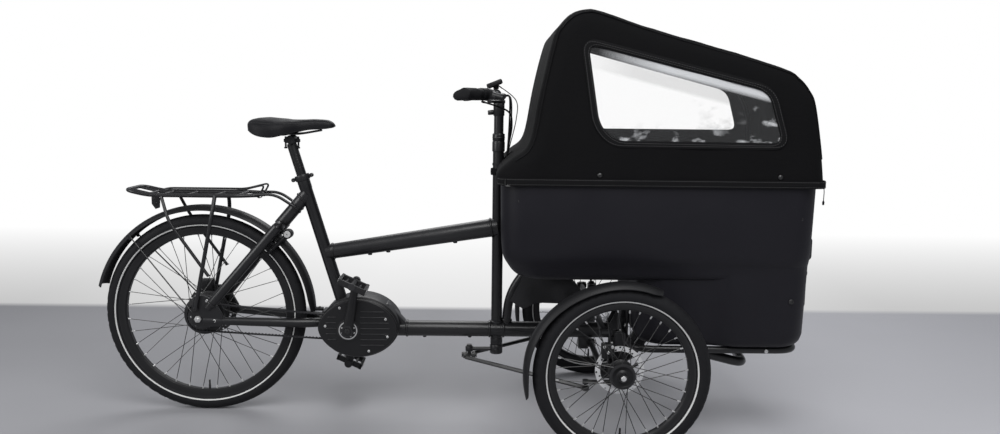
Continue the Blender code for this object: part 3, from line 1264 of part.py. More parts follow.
def grip(side):
    sleeve = cylinder(bar_point(side, -0.004), bar_point(side, GRIP_LENGTH), GRIP_R)
    return cut(sleeve, cylinder(bar_point(side, -GAP), bar_point(side, GRIP_LENGTH + 0.02), bore_r(BAR_R)))


def twist_shifter():
    start = GRIP_LENGTH + RUN_GAP
    sleeve = cylinder(bar_point(-1, start), bar_point(-1, start + SHIFTER_LENGTH), SHIFTER_R)
    return cut(sleeve, cylinder(bar_point(-1, start - 0.02), bar_point(-1, start + SHIFTER_LENGTH + 0.02),
                                bore_r(BAR_R)))


def brake_lever(side):
    """A blade ahead of the grip, turning on the perch pin."""
    pivot = lever_pivot(side)
    outward = (bar_end(side) - bar_point(side, LEVER_INWARD)).normalized()
    eye_z = pivot.z - 0.0112
    eye = cylinder((pivot.x, pivot.y, eye_z - 0.0048), (pivot.x, pivot.y, eye_z + 0.0048), 0.0095)
    start = Vector((pivot.x, pivot.y, eye_z))
    blade = tube(rounded_path([start + outward * 0.006, start + outward * 0.050 + Vector((0.006, 0, 0)),
                               start + outward * 0.118], 0.03), 0.0044)
    return cut(fuse(eye, blade), cylinder(pivot, pivot + Vector((0, 0, -0.05)), LEVER_PIN_R + GAP, sides=8))


def display():
    """Small screen on a foot over the bar clamp, tipped back to the rider."""
    foot_z = BAR_Z + BAR_CLAMP_R + GAP
    case = block((-0.026, -0.034, -0.006), (0.026, 0.034, 0.006), bevel=0.003)
    case.data.transform(Matrix.Translation((BAR_X + 0.004, 0, foot_z + 0.020))
                        @ Matrix.Rotation(math.radians(-DISPLAY_TIP_DEG), 4, "Y"))
    foot = block((BAR_X - 0.008, -0.012, foot_z), (BAR_X + 0.010, 0.012, foot_z + 0.018))
    return fuse(case, foot)


def cable_loom():
    """Three cables that loop ahead of the column and meet in a clip on the head tube."""
    clip_x = HEAD_X + HEAD_R + GAP
    clip_z = HEAD_TOP_Z - 0.075
    loom = block((clip_x, -0.012, clip_z - 0.010), (clip_x + 0.012, 0.012, clip_z + 0.010), bevel=0.002)
    under_shifter = Vector((0, 0, -SHIFTER_R - CABLE_R - GAP))
    starts = [(lever_pivot(-1) + Vector((0.012, 0.012, 0.008)), -0.004, -0.007),
              (lever_pivot(1) + Vector((0.012, -0.012, 0.008)), -0.004, 0.007),
              (bar_point(-1, GRIP_LENGTH + SHIFTER_LENGTH / 2) + under_shifter, -0.044, 0.0)]
    for start, drop, y in starts:
        path = [start, (clip_x + 0.028, start.y * 0.45, BAR_Z + drop), (clip_x + 0.030, y, BAR_Z - 0.075),
                (clip_x + 0.016, y, clip_z + 0.060), (clip_x + 0.006, y, clip_z)]
        loom = fuse(loom, tube(rounded_path(path, 0.05), CABLE_R, resolution=0))
    return loom


def build():
    clear_scene()
    root = bpy.data.objects.new("cargo_tricycle_root", None)
    collection(PARTS_NAME).objects.link(root)
    root.location = (-MIDDLE_X, 0, 0)
    ground = (0, 0, 0)

    def add(name, obj, kind, pivot=ground):
        node(name, obj, kind, pivot, root)

    add("main_frame", main_frame(), "frame_paint")
    add("motor_housing", motor_housing(), "plastic")
    add("drive_belt", drive_belt(), "rubber")
    add("rear_axle", rear_axle(), "bare_steel", REAR_AXLE)
    add("rear_mudguard", rear_mudguard(), "plastic")
    add("rear_carrier", rear_carrier(), "black_alloy")
    add("carrier_clip", carrier_clip(), "black_alloy", (CARRIER_FRONT_X, 0, CARRIER_Z))
    add("ring_lock", ring_lock(), "black_alloy")
    add("rear_caliper", rear_caliper(), "black_alloy")
    add("seat_clamp", seat_clamp(), "black_alloy")
    add("cargo_box", cargo_box(), "box_plastic")
    add("front_door", front_door(), "box_plastic", (DOOR_HINGE_X, DOOR_HINGE_Y, DOOR_LOW_Z))
    add("floor_frame", floor_frame(), "frame_paint")
    add("bench_seat", bench_seat(), "fabric")
    add("battery_pack", battery_pack(), "plastic")
    add("hood_fabric", hood_fabric(), "fabric")
    add("hood_frame", hood_frame(), "bare_steel")
    for side, pane in both_sides(hood_window()).items():
        add(f"hood_window_{side_name(side)}", pane, "clear_film")
    add("rear_tyre", wheel_tyre(REAR_AXLE, REAR_TYRE_R, REAR_TYRE_W, REAR_RIM_R), "tyre", REAR_AXLE)
    add("rear_wheel", rear_wheel(), "black_alloy", REAR_AXLE)
    disc = Vector((0, REAR_DISC_Y, REAR_TYRE_R))
    add("rear_disc", brake_disc(disc, REAR_DISC_R, DISC_SEAT_R + GAP), "bare_steel", REAR_AXLE)
    pulley = Vector((0, BELT_Y, REAR_TYRE_R))
    add("rear_pulley", belt_pulley(pulley, REAR_PULLEY_TEETH, AXLE_R + GAP), "black_alloy", REAR_AXLE)
    pulley = Vector((CRANK_X, BELT_Y, CRANK_Z))
    add("front_pulley", belt_pulley(pulley, FRONT_PULLEY_TEETH, SPINDLE_R + GAP), "black_alloy", CRANK)
    for side, phase in ((-1, 1), (1, -1)):
        arm, tip = crank_arm(side, phase)
        add(f"crank_{side_name(side)}", arm, "black_alloy", CRANK)
        add(f"pedal_{side_name(side)}", pedal(side, tip), "plastic", tip)
    add("seat_post", seat_post(), "black_alloy", seat_tube_point(SEAT_TUBE_TOP_Z))
    add("saddle_rails", saddle_rails(), "bare_steel")
    add("saddle", saddle(), "saddle_cover")

    head = Vector((HEAD_X, 0, HEAD_TOP_Z))
    add("steering_column", steering_column(), "frame_paint", head)
    add("stem", stem(), "black_alloy", head)
    add("handlebar", handlebar(), "black_alloy", head)
    add("display", display(), "plastic", head)
    for side in (-1, 1):
        add(f"grip_{side_name(side)}", grip(side), "rubber", head)
        add(f"brake_lever_{side_name(side)}", brake_lever(side), "black_alloy", lever_pivot(side))
    add("twist_shifter", twist_shifter(), "plastic", bar_point(-1, GRIP_LENGTH))
    add("cable_loom", cable_loom(), "rubber")

    add("lower_tilt_beam", tilt_beam(LOWER_TILT_Z), "frame_paint", (TILT_BEAM_X, 0, LOWER_TILT_Z))
    add("upper_tilt_beam", tilt_beam(UPPER_TILT_Z), "frame_paint", (TILT_BEAM_X, 0, UPPER_TILT_Z))
    wheel_disc = Vector((WHEELBASE, FRONT_DISC_Y, FRONT_TYRE_R))
    paired = {
        "carrier": (wheel_carrier(), "black_alloy", (TILT_BEAM_X, -KINGPIN_Y, LOWER_TILT_Z)),
        "knuckle": (knuckle(), "black_alloy", (KINGPIN_X, -KINGPIN_Y, LOWER_TILT_Z)),
        "front_caliper": (front_caliper(), "black_alloy", (KINGPIN_X, -KINGPIN_Y, LOWER_TILT_Z)),
        "front_mudguard": (front_mudguard(), "plastic", (KINGPIN_X, -KINGPIN_Y, LOWER_TILT_Z)),
        "front_tyre": (wheel_tyre(FRONT_AXLE, FRONT_TYRE_R, FRONT_TYRE_W, FRONT_RIM_R), "tyre", FRONT_AXLE),
        "front_wheel": (front_wheel(), "black_alloy", FRONT_AXLE),
        "front_disc": (brake_disc(wheel_disc, FRONT_DISC_R, DISC_SEAT_R + GAP), "bare_steel", FRONT_AXLE),
    }
    for name, (right_piece, kind, pivot) in paired.items():
        for side, piece in both_sides(right_piece).items():
            add(f"{name}_{side_name(side)}", piece, kind, (pivot[0], side * abs(pivot[1]), pivot[2]))
    pin = Vector((PITMAN_X, 0, TIE_ROD_Z))
    add("tie_rod_pin", tie_rod_pin(), "bare_steel", pin)
    for side in (-1, 1):
        add(f"tie_rod_{side_name(side)}", tie_rod(side), "black_alloy", pin)


build()
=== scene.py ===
"""Looks of the tilting cargo tricycle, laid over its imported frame.

Metres, +Z up, +X the way it rides. Places are given from the rear axle (X),
the centre plane (Y) and the ground (Z); at() moves them to the shared frame.
"""
from math import acos, atan2, copysign, cos, degrees, exp, pi, radians, sin, sqrt

import bmesh
import bpy
from mathutils import Matrix, Vector, noise


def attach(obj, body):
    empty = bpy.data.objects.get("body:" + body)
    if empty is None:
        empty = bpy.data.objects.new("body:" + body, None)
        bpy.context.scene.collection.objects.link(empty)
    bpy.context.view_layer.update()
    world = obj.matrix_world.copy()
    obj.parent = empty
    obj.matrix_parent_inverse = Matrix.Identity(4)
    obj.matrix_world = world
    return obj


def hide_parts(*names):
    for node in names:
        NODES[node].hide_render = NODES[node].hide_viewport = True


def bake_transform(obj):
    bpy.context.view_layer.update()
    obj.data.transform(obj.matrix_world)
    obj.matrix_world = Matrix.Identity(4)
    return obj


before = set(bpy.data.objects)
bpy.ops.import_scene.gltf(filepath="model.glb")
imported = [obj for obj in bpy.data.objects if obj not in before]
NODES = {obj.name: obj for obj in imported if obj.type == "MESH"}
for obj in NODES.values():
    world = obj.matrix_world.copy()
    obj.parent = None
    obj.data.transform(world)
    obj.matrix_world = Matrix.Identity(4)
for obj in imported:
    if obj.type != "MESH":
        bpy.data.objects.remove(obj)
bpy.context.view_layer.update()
REAR_AXLE_X = -0.7833918
SCENE = bpy.context.scene


def vec(x, y, z):
    return Vector((x, y, z))


def at(x, y, z):
    return vec(x + REAR_AXLE_X, y, z)


# Materials

class Nodes:
    """Adds nodes to one shader tree and joins them up."""

    def __init__(self, tree):
        self.tree = tree
        self.link = tree.links.new

    def new(self, kind, **values):
        made = self.tree.nodes.new("ShaderNode" + kind)
        for key, value in values.items():
            if hasattr(made, key):
                setattr(made, key, value)
            else:
                made.inputs[key].default_value = value
        return made

    def fed(self, source, kind, **values):
        """A new node whose vector input comes from source."""
        made = self.new(kind, **values)
        self.link(source, made.inputs["Vector"])
        return made

    def maths(self, operation, first, second):
        made = self.new("Math", operation=operation)
        for index, value in enumerate((first, second)):
            if isinstance(value, (int, float)):
                made.inputs[index].default_value = value
            else:
                self.link(value, made.inputs[index])
        return made.outputs[0]

    def plus(self, first, second):
        return self.maths("ADD", first, second)

    def times(self, first, second):
        return self.maths("MULTIPLY", first, second)

    def most(self, first, second):
        return self.maths("MAXIMUM", first, second)

    def noise(self, coord, scale, detail=3.0, stretch=(1, 1, 1)):
        mapping = self.fed(coord, "Mapping", Scale=stretch)
        return self.fed(mapping.outputs[0], "TexNoise", Scale=scale, Detail=detail).outputs["Fac"]

    def wave(self, coord, direction, period):
        """A fine ripple along one axis, for threads; the wave texture's period is 0.314 / scale."""
        return self.fed(coord, "TexWave", bands_direction=direction,
                        Scale=0.314 / period).outputs["Fac"]

    def ramp(self, value, low, high, bottom=0.0, top=1.0):
        """From bottom at low to top at high, held outside."""
        span = {"From Min": low, "From Max": high, "To Min": bottom, "To Max": top}
        made = self.new("MapRange", **span)
        self.link(value, made.inputs["Value"])
        return made.outputs[0]

    def mix(self, factor, first, second):
        """A colour between first, which may be a node's output, and second."""
        made = self.new("Mix", data_type="RGBA")
        self.link(factor, made.inputs["Factor"])
        if isinstance(first, bpy.types.NodeSocket):
            self.link(first, made.inputs["A"])
        else:
            made.inputs["A"].default_value = (*first, 1)
        made.inputs["B"].default_value = (*second, 1)
        return made.outputs["Result"]

    def split(self, coord):
        return self.fed(coord, "SeparateXYZ").outputs

    def seen(self):
        """1 for rays from the camera, straight or through the film."""
        path = self.new("LightPath")
        return self.most(path.outputs["Is Camera Ray"], path.outputs["Is Transmission Ray"])

    def choose(self, factor, first, second, output):
        """Mixes two shaders into the tree's output node."""
        made = self.new("MixShader")
        self.link(factor, made.inputs["Fac"])
        self.link(first.outputs[0], made.inputs[1])
        self.link(second.outputs[0], made.inputs[2])
        self.link(made.outputs[0], self.tree.nodes[output].inputs["Surface"])


def new_material(name):
    mat = bpy.data.materials.new(name)
    mat.use_nodes = True
    return mat, Nodes(mat.node_tree), mat.node_tree.nodes["Principled BSDF"]


def surface(name, dark, light, rough, rough_span=0.08, grain=900.0, bump=0.06, metallic=0.0,
            sheen=0.0, coat=0.0, wear=0.0, weave=0.0, pores=0.0, crease=0.0, stretch=(1, 1, 1),
            gloss=0.3):
    """A material that varies in colour, roughness and bump: grain, weave, pores, creases, wear."""
    mat, tree, bsdf = new_material(name)
    for socket, value in (("Metallic", metallic), ("Sheen Weight", sheen), ("Coat Weight", coat),
                          ("Specular IOR Level", gloss)):
        bsdf.inputs[socket].default_value = value
    coord = tree.new("TexCoord").outputs["Object"]
    cloud = tree.noise(coord, 6.0, 4.0)
    fine = tree.noise(coord, grain, 3.0, stretch)
    height = fine
    tone = tree.plus(tree.times(cloud, 0.6), tree.times(fine, 0.4))
    if weave:
        x, y, z = (tree.wave(coord, axis, weave) for axis in "XYZ")
        cloth = tree.plus(tree.plus(tree.times(x, y), tree.times(x, z)), tree.times(y, z))
        height = tree.plus(tree.times(fine, 0.6), tree.times(cloth, 0.25))
        tone = tree.plus(tree.times(tone, 0.9), tree.times(cloth, 0.05))
    if pores:
        height = tree.plus(height, tree.fed(coord, "TexVoronoi", Scale=pores).outputs["Distance"])
    if crease:
        height = tree.plus(height, tree.times(tree.noise(coord, 14.0, 2.0, (1.0, 1.0, 0.45)),
                                              crease))
    colour = tree.mix(tone, dark, light)
    if wear:
        edge = tree.new("NewGeometry").outputs["Pointiness"]
        bright = [min(1.0, c * 3 + 0.02) for c in light]
        colour = tree.mix(tree.ramp(edge, 0.53, 0.62, 0.0, wear), colour, bright)
    tree.link(colour, bsdf.inputs["Base Color"])
    tree.link(tree.ramp(cloud, 0.3, 0.7, rough - rough_span, rough + rough_span),
              bsdf.inputs["Roughness"])
    raised = tree.new("Bump", Strength=bump, Distance=0.001)
    tree.link(height, raised.inputs["Height"])
    tree.link(raised.outputs[0], bsdf.inputs["Normal"])
    return mat


def clear_film():
    """Clear window film whose alpha carries painted reflection: creased painted glare along its
    foot and front, a painted highlight band below its top, stronger on the -Y side.
    """
    mat = surface("clear_window_film", (0.86, 0.88, 0.9), (0.96, 0.97, 0.98), 0.12, rough_span=0.04,
                  grain=40, bump=0.1, crease=4.0)
    tree = Nodes(mat.node_tree)
    coord = tree.new("TexCoord").outputs["Object"]
    x, y, z = tree.split(coord)
    # Painted reflection: the pale film is made more opaque where glare shows, weighted towards the
    # -Y side.
    near_side_glare_weight = tree.plus(tree.times(tree.ramp(y, 0.05, -0.05), 0.75), 0.25)
    foot = tree.ramp(z, 0.968, 0.925)
    front = tree.ramp(x, 1.64 + REAR_AXLE_X, 1.75 + REAR_AXLE_X)
    creases = tree.ramp(tree.noise(coord, 21.0, 5.0, (1.0, 1.0, 1.5)), 0.53, 0.72)
    painted_glare = tree.times(tree.most(foot, front), tree.times(creases, 0.55))
    top_slope, top_level = 0.2463, 1.3091
    level = tree.plus(z, tree.times(x, top_slope))
    # A painted highlight band just below the top edge, towards the front.
    band = tree.times(tree.ramp(level, top_level - 0.038, top_level - 0.024),
                      tree.ramp(x, 1.24 + REAR_AXLE_X, 1.44 + REAR_AXLE_X))
    painted_glare = tree.times(tree.most(painted_glare, tree.times(band, 0.5)), near_side_glare_weight)
    tree.link(tree.plus(painted_glare, 0.02), mat.node_tree.nodes["Principled BSDF"].inputs["Alpha"])
    return mat


PAINT = surface("satin_black_paint", (0.006, 0.006, 0.007), (0.012, 0.012, 0.013), 0.34, grain=1600,
                bump=0.05, wear=0.15, coat=0.12, gloss=0.4)
ALLOY = surface("black_anodised_alloy", (0.007, 0.007, 0.008), (0.016, 0.016, 0.017), 0.38,
                grain=1200, bump=0.05, wear=0.35, gloss=0.3)
STEEL = surface("brushed_steel", (0.5, 0.5, 0.5), (0.72, 0.72, 0.71), 0.3, grain=500, bump=0.04,
                metallic=0.6, stretch=(1, 6, 1))
DISC_STEEL = surface("disc_steel", (0.74, 0.74, 0.75), (0.92, 0.92, 0.92), 0.42, grain=700,
                     bump=0.05, metallic=0.35, stretch=(4, 1, 1), gloss=0.6)
DARK_STEEL = surface("dark_steel", (0.05, 0.05, 0.05), (0.1, 0.1, 0.1), 0.36, grain=800, bump=0.05,
                     metallic=1.0)
PLASTIC = surface("black_plastic", (0.006, 0.006, 0.007), (0.014, 0.014, 0.015), 0.46, grain=1500,
                  bump=0.1, pores=900, wear=0.15, gloss=0.25)
BOX_PLASTIC = surface("moulded_box_plastic", (0.008, 0.0076, 0.0108), (0.012, 0.0115, 0.0155), 0.46,
                      rough_span=0.05, grain=1100, bump=0.12, pores=700, wear=0.12, gloss=0.22)
RUBBER = surface("tyre_rubber", (0.008, 0.008, 0.009), (0.018, 0.018, 0.02), 0.66, grain=420,
                 bump=0.18, wear=0.2, gloss=0.15)
STRIPE = surface("pale_sidewall_stripe", (0.56, 0.56, 0.55), (0.74, 0.74, 0.72), 0.55, grain=600,
                 bump=0.06)
GRIP_RUBBER = surface("grip_rubber", (0.006, 0.006, 0.007), (0.014, 0.014, 0.015), 0.62, grain=800,
                      bump=0.25, pores=450, gloss=0.15)
FABRIC = surface("hood_fabric_weave", (0.0035, 0.0035, 0.0038), (0.0085, 0.0085, 0.0092), 0.8,
                 grain=700, bump=0.3, sheen=0.02, weave=0.0016, crease=5.0, gloss=0.05)
BINDING = surface("hood_binding_tape", (0.004, 0.004, 0.0043), (0.01, 0.01, 0.011), 0.72, grain=900,
                  bump=0.4, sheen=0.02, weave=0.0011, gloss=0.08)
SEAT_CLOTH = surface("bench_cloth", (0.016, 0.016, 0.018), (0.034, 0.034, 0.037), 0.85, grain=600,
                     bump=0.35, sheen=0.1, weave=0.0022)
VINYL = surface("saddle_vinyl", (0.005, 0.005, 0.006), (0.011, 0.011, 0.013), 0.5, grain=900,
                bump=0.25, pores=420, sheen=0.02, gloss=0.15)
THREAD = surface("stitching_thread", (0.05, 0.05, 0.05), (0.11, 0.11, 0.11), 0.8, grain=1500,
                 bump=0.2)
FILM = clear_film()
SCREEN = surface("display_glass", (0.012, 0.013, 0.015), (0.02, 0.022, 0.026), 0.12,
                 rough_span=0.03, grain=600, bump=0.02, coat=0.6)
GREY_PLASTIC = surface("pale_key_housing", (0.42, 0.42, 0.42), (0.6, 0.6, 0.59), 0.45, grain=900,
                       bump=0.08)


# Mesh building

def mesh_from(bm, name):
    bmesh.ops.recalc_face_normals(bm, faces=bm.faces[:])
    mesh = bpy.data.meshes.new(name)
    bm.to_mesh(mesh)
    bm.free()
    return mesh


def place_in_scene(name, data):
    made = bpy.data.objects.new(name, data)
    SCENE.collection.objects.link(made)
    return made


def piece(name, bm, materials, body, replaces=(), sharp=38.0):
    """A finished object that rides on a body; faces keep their material numbers."""
    bmesh.ops.remove_doubles(bm, verts=bm.verts[:], dist=1e-6)
    return dress(name, mesh_from(bm, name), materials, body, replaces, sharp)


def dress(name, mesh, materials, body, replaces=(), sharp=38.0):
    numbers = [face.material_index for face in mesh.polygons]
    mesh.materials.clear()
    for mat in materials:
        mesh.materials.append(mat)
    mesh.polygons.foreach_set("material_index", numbers)
    mesh.shade_smooth()
    mesh.set_sharp_from_angle(angle=radians(sharp))
    made = place_in_scene(name, mesh)
    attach(made, body)
    if replaces:
        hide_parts(*replaces)
    return made


def curve_through(points, steps=6):
    """A smooth line through the points."""
    points = [Vector(p) for p in points]
    last = len(points) - 1
    made = []
    for index in range(last):
        a, b, c, d = (points[min(max(index + k, 0), last)] for k in (-1, 0, 1, 2))
        for step in range(steps):
            t = step / steps
            made.append(0.5 * (2 * b + (c - a) * t + (2 * a - 5 * b + 4 * c - d) * t * t
                               + (3 * b - a - 3 * c + d) * t ** 3))
    return made + [points[-1]]


def rounded(points, radius, steps=8):
    """A line whose corners are turned on a radius."""
    points = [Vector(p) for p in points]
    made = [points[0]]
    for before, corner, after in zip(points, points[1:], points[2:]):
        into, out = before - corner, after - corner
        reach = min(radius, into.length * 0.49, out.length * 0.49)
        first, last = corner + into.normalized() * reach, corner + out.normalized() * reach
        for step in range(steps + 1):
            t = step / steps
            made.append(first.lerp(corner, t).lerp(corner.lerp(last, t), t))
    return made + [points[-1]]


def polar(r, angle, y=0.0):
    """A step of r at an angle in the side plane, and of y across it."""
    return vec(r * cos(angle), y, r * sin(angle))


def skin(bm, rings, closed=False, mat=0):
    """Faces from ring to ring; the run's ends are capped, or joined when it is closed."""
    count = len(rings[0])
    for low, high in list(zip(rings, rings[1:])) + ([(rings[-1], rings[0])] if closed else []):
        for k in range(count):
            face = bm.faces.new((low[k], low[(k + 1) % count], high[(k + 1) % count], high[k]))
            face.material_index = mat
    if not closed:
        for ring in (list(reversed(rings[0])), rings[-1]):
            bm.faces.new(ring).material_index = mat


def sweep(bm, points, radius, sides=16, mat=0, closed=False, flat=1.0, up=None):
    """A tube along a line: one radius or one for each point; flat squeezes it along up."""
    points = [Vector(p) for p in points]
    count = len(points)
    radii = list(radius) if hasattr(radius, "__len__") else [radius] * count
    tangents = []
    for index in range(count):
        before = points[(index - 1) % count] if closed or index else points[index]
        after = points[(index + 1) % count] if closed or index < count - 1 else points[index]
        tangents.append((after - before).normalized())
    side = Vector(up) if up else vec(0, 0, 1)
    if abs(side.normalized().dot(tangents[0])) > 0.95:
        side = vec(0, 1, 0)
    rings = []
    for place, tangent, r in zip(points, tangents, radii):
        side = (side - tangent * side.dot(tangent)).normalized()
        across = tangent.cross(side)
        rings.append([bm.verts.new(place + r * (cos(a) * across + sin(a) * flat * side))
                      for a in (2 * pi * k / sides for k in range(sides))])
    skin(bm, rings, closed, mat)
    return rings


def lathe(bm, profile, centre, axis=(0, 1, 0), steps=48, mats=None, closed=False, mat=0,
          wobble=None):
    """A turned form: profile is (radius, along) pairs, mats a material number for each span."""
    axis = Vector(axis).normalized()
    first = axis.orthogonal().normalized() if abs(axis.y) < 0.99 else vec(1, 0, 0)
    second = axis.cross(first)
    centre = Vector(centre)
    rings = []
    for k in range(steps):
        angle = 2 * pi * k / steps
        out = cos(angle) * first + sin(angle) * second
        rings.append([bm.verts.new(centre + axis * along
                                   + out * (r + (wobble(k, index) if wobble else 0.0)))
                      for index, (r, along) in enumerate(profile)])
    count = len(profile)
    for a, b in zip(rings, rings[1:] + rings[:1]):
        for index in range(count if closed else count - 1):
            following = (index + 1) % count
            corners = [a[index], a[following], b[following], b[index]]
            if (corners[0].co - corners[3].co).length < 1e-9:
                corners.pop(3)
            elif (corners[1].co - corners[2].co).length < 1e-9:
                corners.pop(2)
            bm.faces.new(corners).material_index = mats[index] if mats else mat


def collar(bm, place, axis, bore, edge, r, low, high, ease, steps=36, mat=0):
    """A turned ring, or a plug when bore is 0, with eased edges."""
    lathe(bm, [(bore, low), (edge, low), (r, low + ease), (r, high - ease), (edge, high),
               (bore, high)], place, axis, steps=steps, closed=bore > 0, mat=mat)


def button(bm, place, axis, edge, r, height, ease, steps=20, mat=0):
    """A low turned cap with an eased edge."""
    lathe(bm, [(0.0, height), (edge, height), (r, height - ease), (r, 0.0), (0.0, 0.0)], place,
          axis, steps=steps, mat=mat)


def solid_box(bm, low, high, bevel=0.004, segments=3, mat=0, turn=None):
    """A block with rounded edges, made apart and then added."""
    low, high = Vector(low), Vector(high)
    part = bmesh.new()
    bmesh.ops.create_cube(part, size=1.0)
    bmesh.ops.scale(part, vec=high - low, verts=part.verts[:])
    bmesh.ops.bevel(part, geom=part.edges[:], offset=bevel, segments=segments, affect="EDGES",
                    profile=0.5)
    place = Matrix.Translation((low + high) / 2)
    add(bm, part, place @ turn if turn else place, mat)


def plate_part(outline, low, high, bevel, segments):
    """A flat plate with rounded rims from an outline of two coordinates."""
    part = bmesh.new()
    rings = [[part.verts.new((a, level, b)) for a, b in outline] for level in (low, high)]
    faces = [part.faces.new(rings[0]), part.faces.new(list(reversed(rings[1])))]
    count = len(outline)
    for k in range(count):
        part.faces.new((rings[0][k], rings[1][k], rings[1][(k + 1) % count],
                        rings[0][(k + 1) % count]))
    bmesh.ops.recalc_face_normals(part, faces=part.faces[:])
    if bevel:
        rims = [edge for face in faces for edge in face.edges]
        bmesh.ops.bevel(part, geom=rims, offset=bevel, segments=segments, affect="EDGES",
                        profile=0.5)
    return part


def slab(bm, outline, low_y, high_y, bevel=0.002, segments=2):
    """A plate square to Y from an outline of (x, z) points."""
    add(bm, plate_part(outline, low_y, high_y, bevel, segments), Matrix.Translation(at(0, 0, 0)), 0)


def slab_x(bm, outline, low_x, high_x, bevel, segments=3):
    """A plate square to X from an outline of (y, z) points."""
    swap = Matrix(((0, 1, 0, 0), (1, 0, 0, 0), (0, 0, 1, 0), (0, 0, 0, 1)))
    add(bm, plate_part(outline, low_x, high_x, bevel, segments),
        Matrix.Translation(at(0, 0, 0)) @ swap, 0)


def add(bm, part, place, mat=None):
    """Adds a part mesh to bm at a place and frees it."""
    part.transform(place)
    known = {vert: bm.verts.new(vert.co) for vert in part.verts}
    for face in part.faces:
        made = bm.faces.new([known[v] for v in face.verts])
        made.material_index = face.material_index if mat is None else mat
    part.free()


def bolt(bm, place, axis, r=0.004, height=0.003, mat=0):
    """A round-headed screw with a hex socket."""
    hex_r = r * 0.55
    profile = [(0.0, height * 0.35), (hex_r, height * 0.35), (hex_r, height), (r * 0.82, height),
               (r, height * 0.75), (r, 0.0), (0.0, 0.0)]
    lathe(bm, profile, place, axis, steps=12, mat=mat)


def weld(bm, place, axis, r, bead=0.0035, steps=40):
    """A weld bead round a tube, rippled along its run."""
    ring = [(r + bead * cos(a), bead * 1.2 * sin(a)) for a in (2 * pi * k / 8 for k in range(8))]
    lathe(bm, ring, place, axis, steps=steps, closed=True,
          wobble=lambda k, index: 0.0006 * sin(k * 2.6) * cos(2 * pi * index / 8))


def mesh_of(made):
    """The object's mesh with its modifiers applied."""
    bpy.context.view_layer.update()
    graph = bpy.context.evaluated_depsgraph_get()
    return bpy.data.meshes.new_from_object(made.evaluated_get(graph))


def loose(bm, name="loose"):
    """A bare object, for cutting and simulating, or to keep as it is."""
    return place_in_scene(name, mesh_from(bm, name))


def drop(made):
    bpy.data.objects.remove(made, do_unlink=True)


def combine(made, other, operation):
    """Cuts or joins other into made, and drops other."""
    modifier = made.modifiers.new("combine", "BOOLEAN")
    modifier.operation = operation
    modifier.solver = "EXACT"
    modifier.object = other
    made.data = mesh_of(made)
    made.modifiers.clear()
    drop(other)
    return made


# Stage: white backdrop with painted shade, grey studio floor with painted light falloff, soft lamps
# and the camera

FLOOR_EDGE_Y = 1.39


def camera():
    pitch, yaw, roll = (radians(a) for a in (7.69, 0.72, -0.69))
    forward = vec(sin(yaw) * cos(pitch), cos(yaw) * cos(pitch), -sin(pitch))
    right = vec(cos(yaw), -sin(yaw), 0)
    down = forward.cross(right)
    turned_right = cos(roll) * right + sin(roll) * down
    turned_down = -sin(roll) * right + cos(roll) * down
    made = place_in_scene("camera", bpy.data.cameras.new("camera"))
    made.data.sensor_width = 36.0
    made.data.lens = 30.41
    made.matrix_world = Matrix.Translation(at(0.932, -2.744, 1.027)) @ Matrix(
        (turned_right, -turned_down, -forward)).transposed().to_4x4()
    SCENE.camera = made


def stage():
    mesh = bpy.data.meshes.new("floor")
    mesh.from_pydata([(-9, -7, 0), (9, -7, 0), (9, 9, 0), (-9, 9, 0)], [], [(0, 1, 2, 3)])
    floor = place_in_scene("studio_floor", mesh)
    mat, tree, bsdf = new_material("studio_floor")
    coord = tree.new("TexCoord").outputs["Object"]
    x, y, _ = tree.split(coord)
    # Painted light falloff: the floor grey runs darker towards -X and lighter towards +X, with some
    # random clouding.
    across = tree.times(tree.ramp(x, -0.1, 1.0), 0.85)
    cloudy = tree.times(tree.noise(coord, 1.5, 5.0), 0.15)
    grey = tree.mix(tree.plus(across, cloudy), (0.29, 0.29, 0.305), (0.56, 0.56, 0.59))
    tree.link(grey, bsdf.inputs["Base Color"])
    bsdf.inputs["Roughness"].default_value = 0.6
    # Beyond the floor's edge, camera rays see a white backdrop glow with painted shade: 0.78 at the
    # edge, rising to full white 2.6 m back, and darker still towards the sides low down.
    far = tree.ramp(y, FLOOR_EDGE_Y - 0.02, FLOOR_EDGE_Y + 0.06)
    rise = tree.ramp(y, FLOOR_EDGE_Y, FLOOR_EDGE_Y + 2.6, 0.78, 1.0)
    edge = tree.ramp(tree.maths("ABSOLUTE", x, 0.0), 0.5, 2.2)
    painted_backdrop_shade = tree.times(edge, tree.maths("SUBTRACT", 1.0, rise))
    white = tree.new("Emission", Color=(1.0, 1.0, 1.0, 1))
    tree.link(tree.maths("SUBTRACT", rise, painted_backdrop_shade), white.inputs["Strength"])
    tree.choose(tree.times(tree.seen(), far), bsdf, white, "Material Output")
    mesh.materials.append(mat)

    world = bpy.data.worlds.new("studio")
    SCENE.world = world
    world.use_nodes = True
    tree = Nodes(world.node_tree)
    lit = world.node_tree.nodes["Background"]
    lit.inputs["Color"].default_value = (0.93, 0.95, 1.0, 1)
    lit.inputs["Strength"].default_value = 0.34
    wall = tree.new("Background", Color=(1.0, 1.0, 1.0, 1), Strength=1.0)
    tree.choose(tree.seen(), lit, wall, "World Output")

    for name, place, target, size, power in (
            ("key_lamp", at(1.3, -2.2, 3.2), at(1.0, 0, 0.5), 2.6, 80),
            ("fill_lamp", at(-1.7, -1.5, 1.7), at(0.6, 0, 0.6), 1.8, 30),
            ("back_lamp", at(0.8, 2.4, 3.0), at(0.9, 0, 0.6), 2.6, 50)):
        lamp = bpy.data.lights.new(name, "AREA")
        lamp.shape = "DISK"
        lamp.size = size
        lamp.energy = power
        holder = place_in_scene(name, lamp)
        holder.location = place
        holder.rotation_euler = (target - place).to_track_quat("-Z", "Y").to_euler()
    SCENE.view_settings.view_transform = "Standard"


camera()
stage()


# Wheels

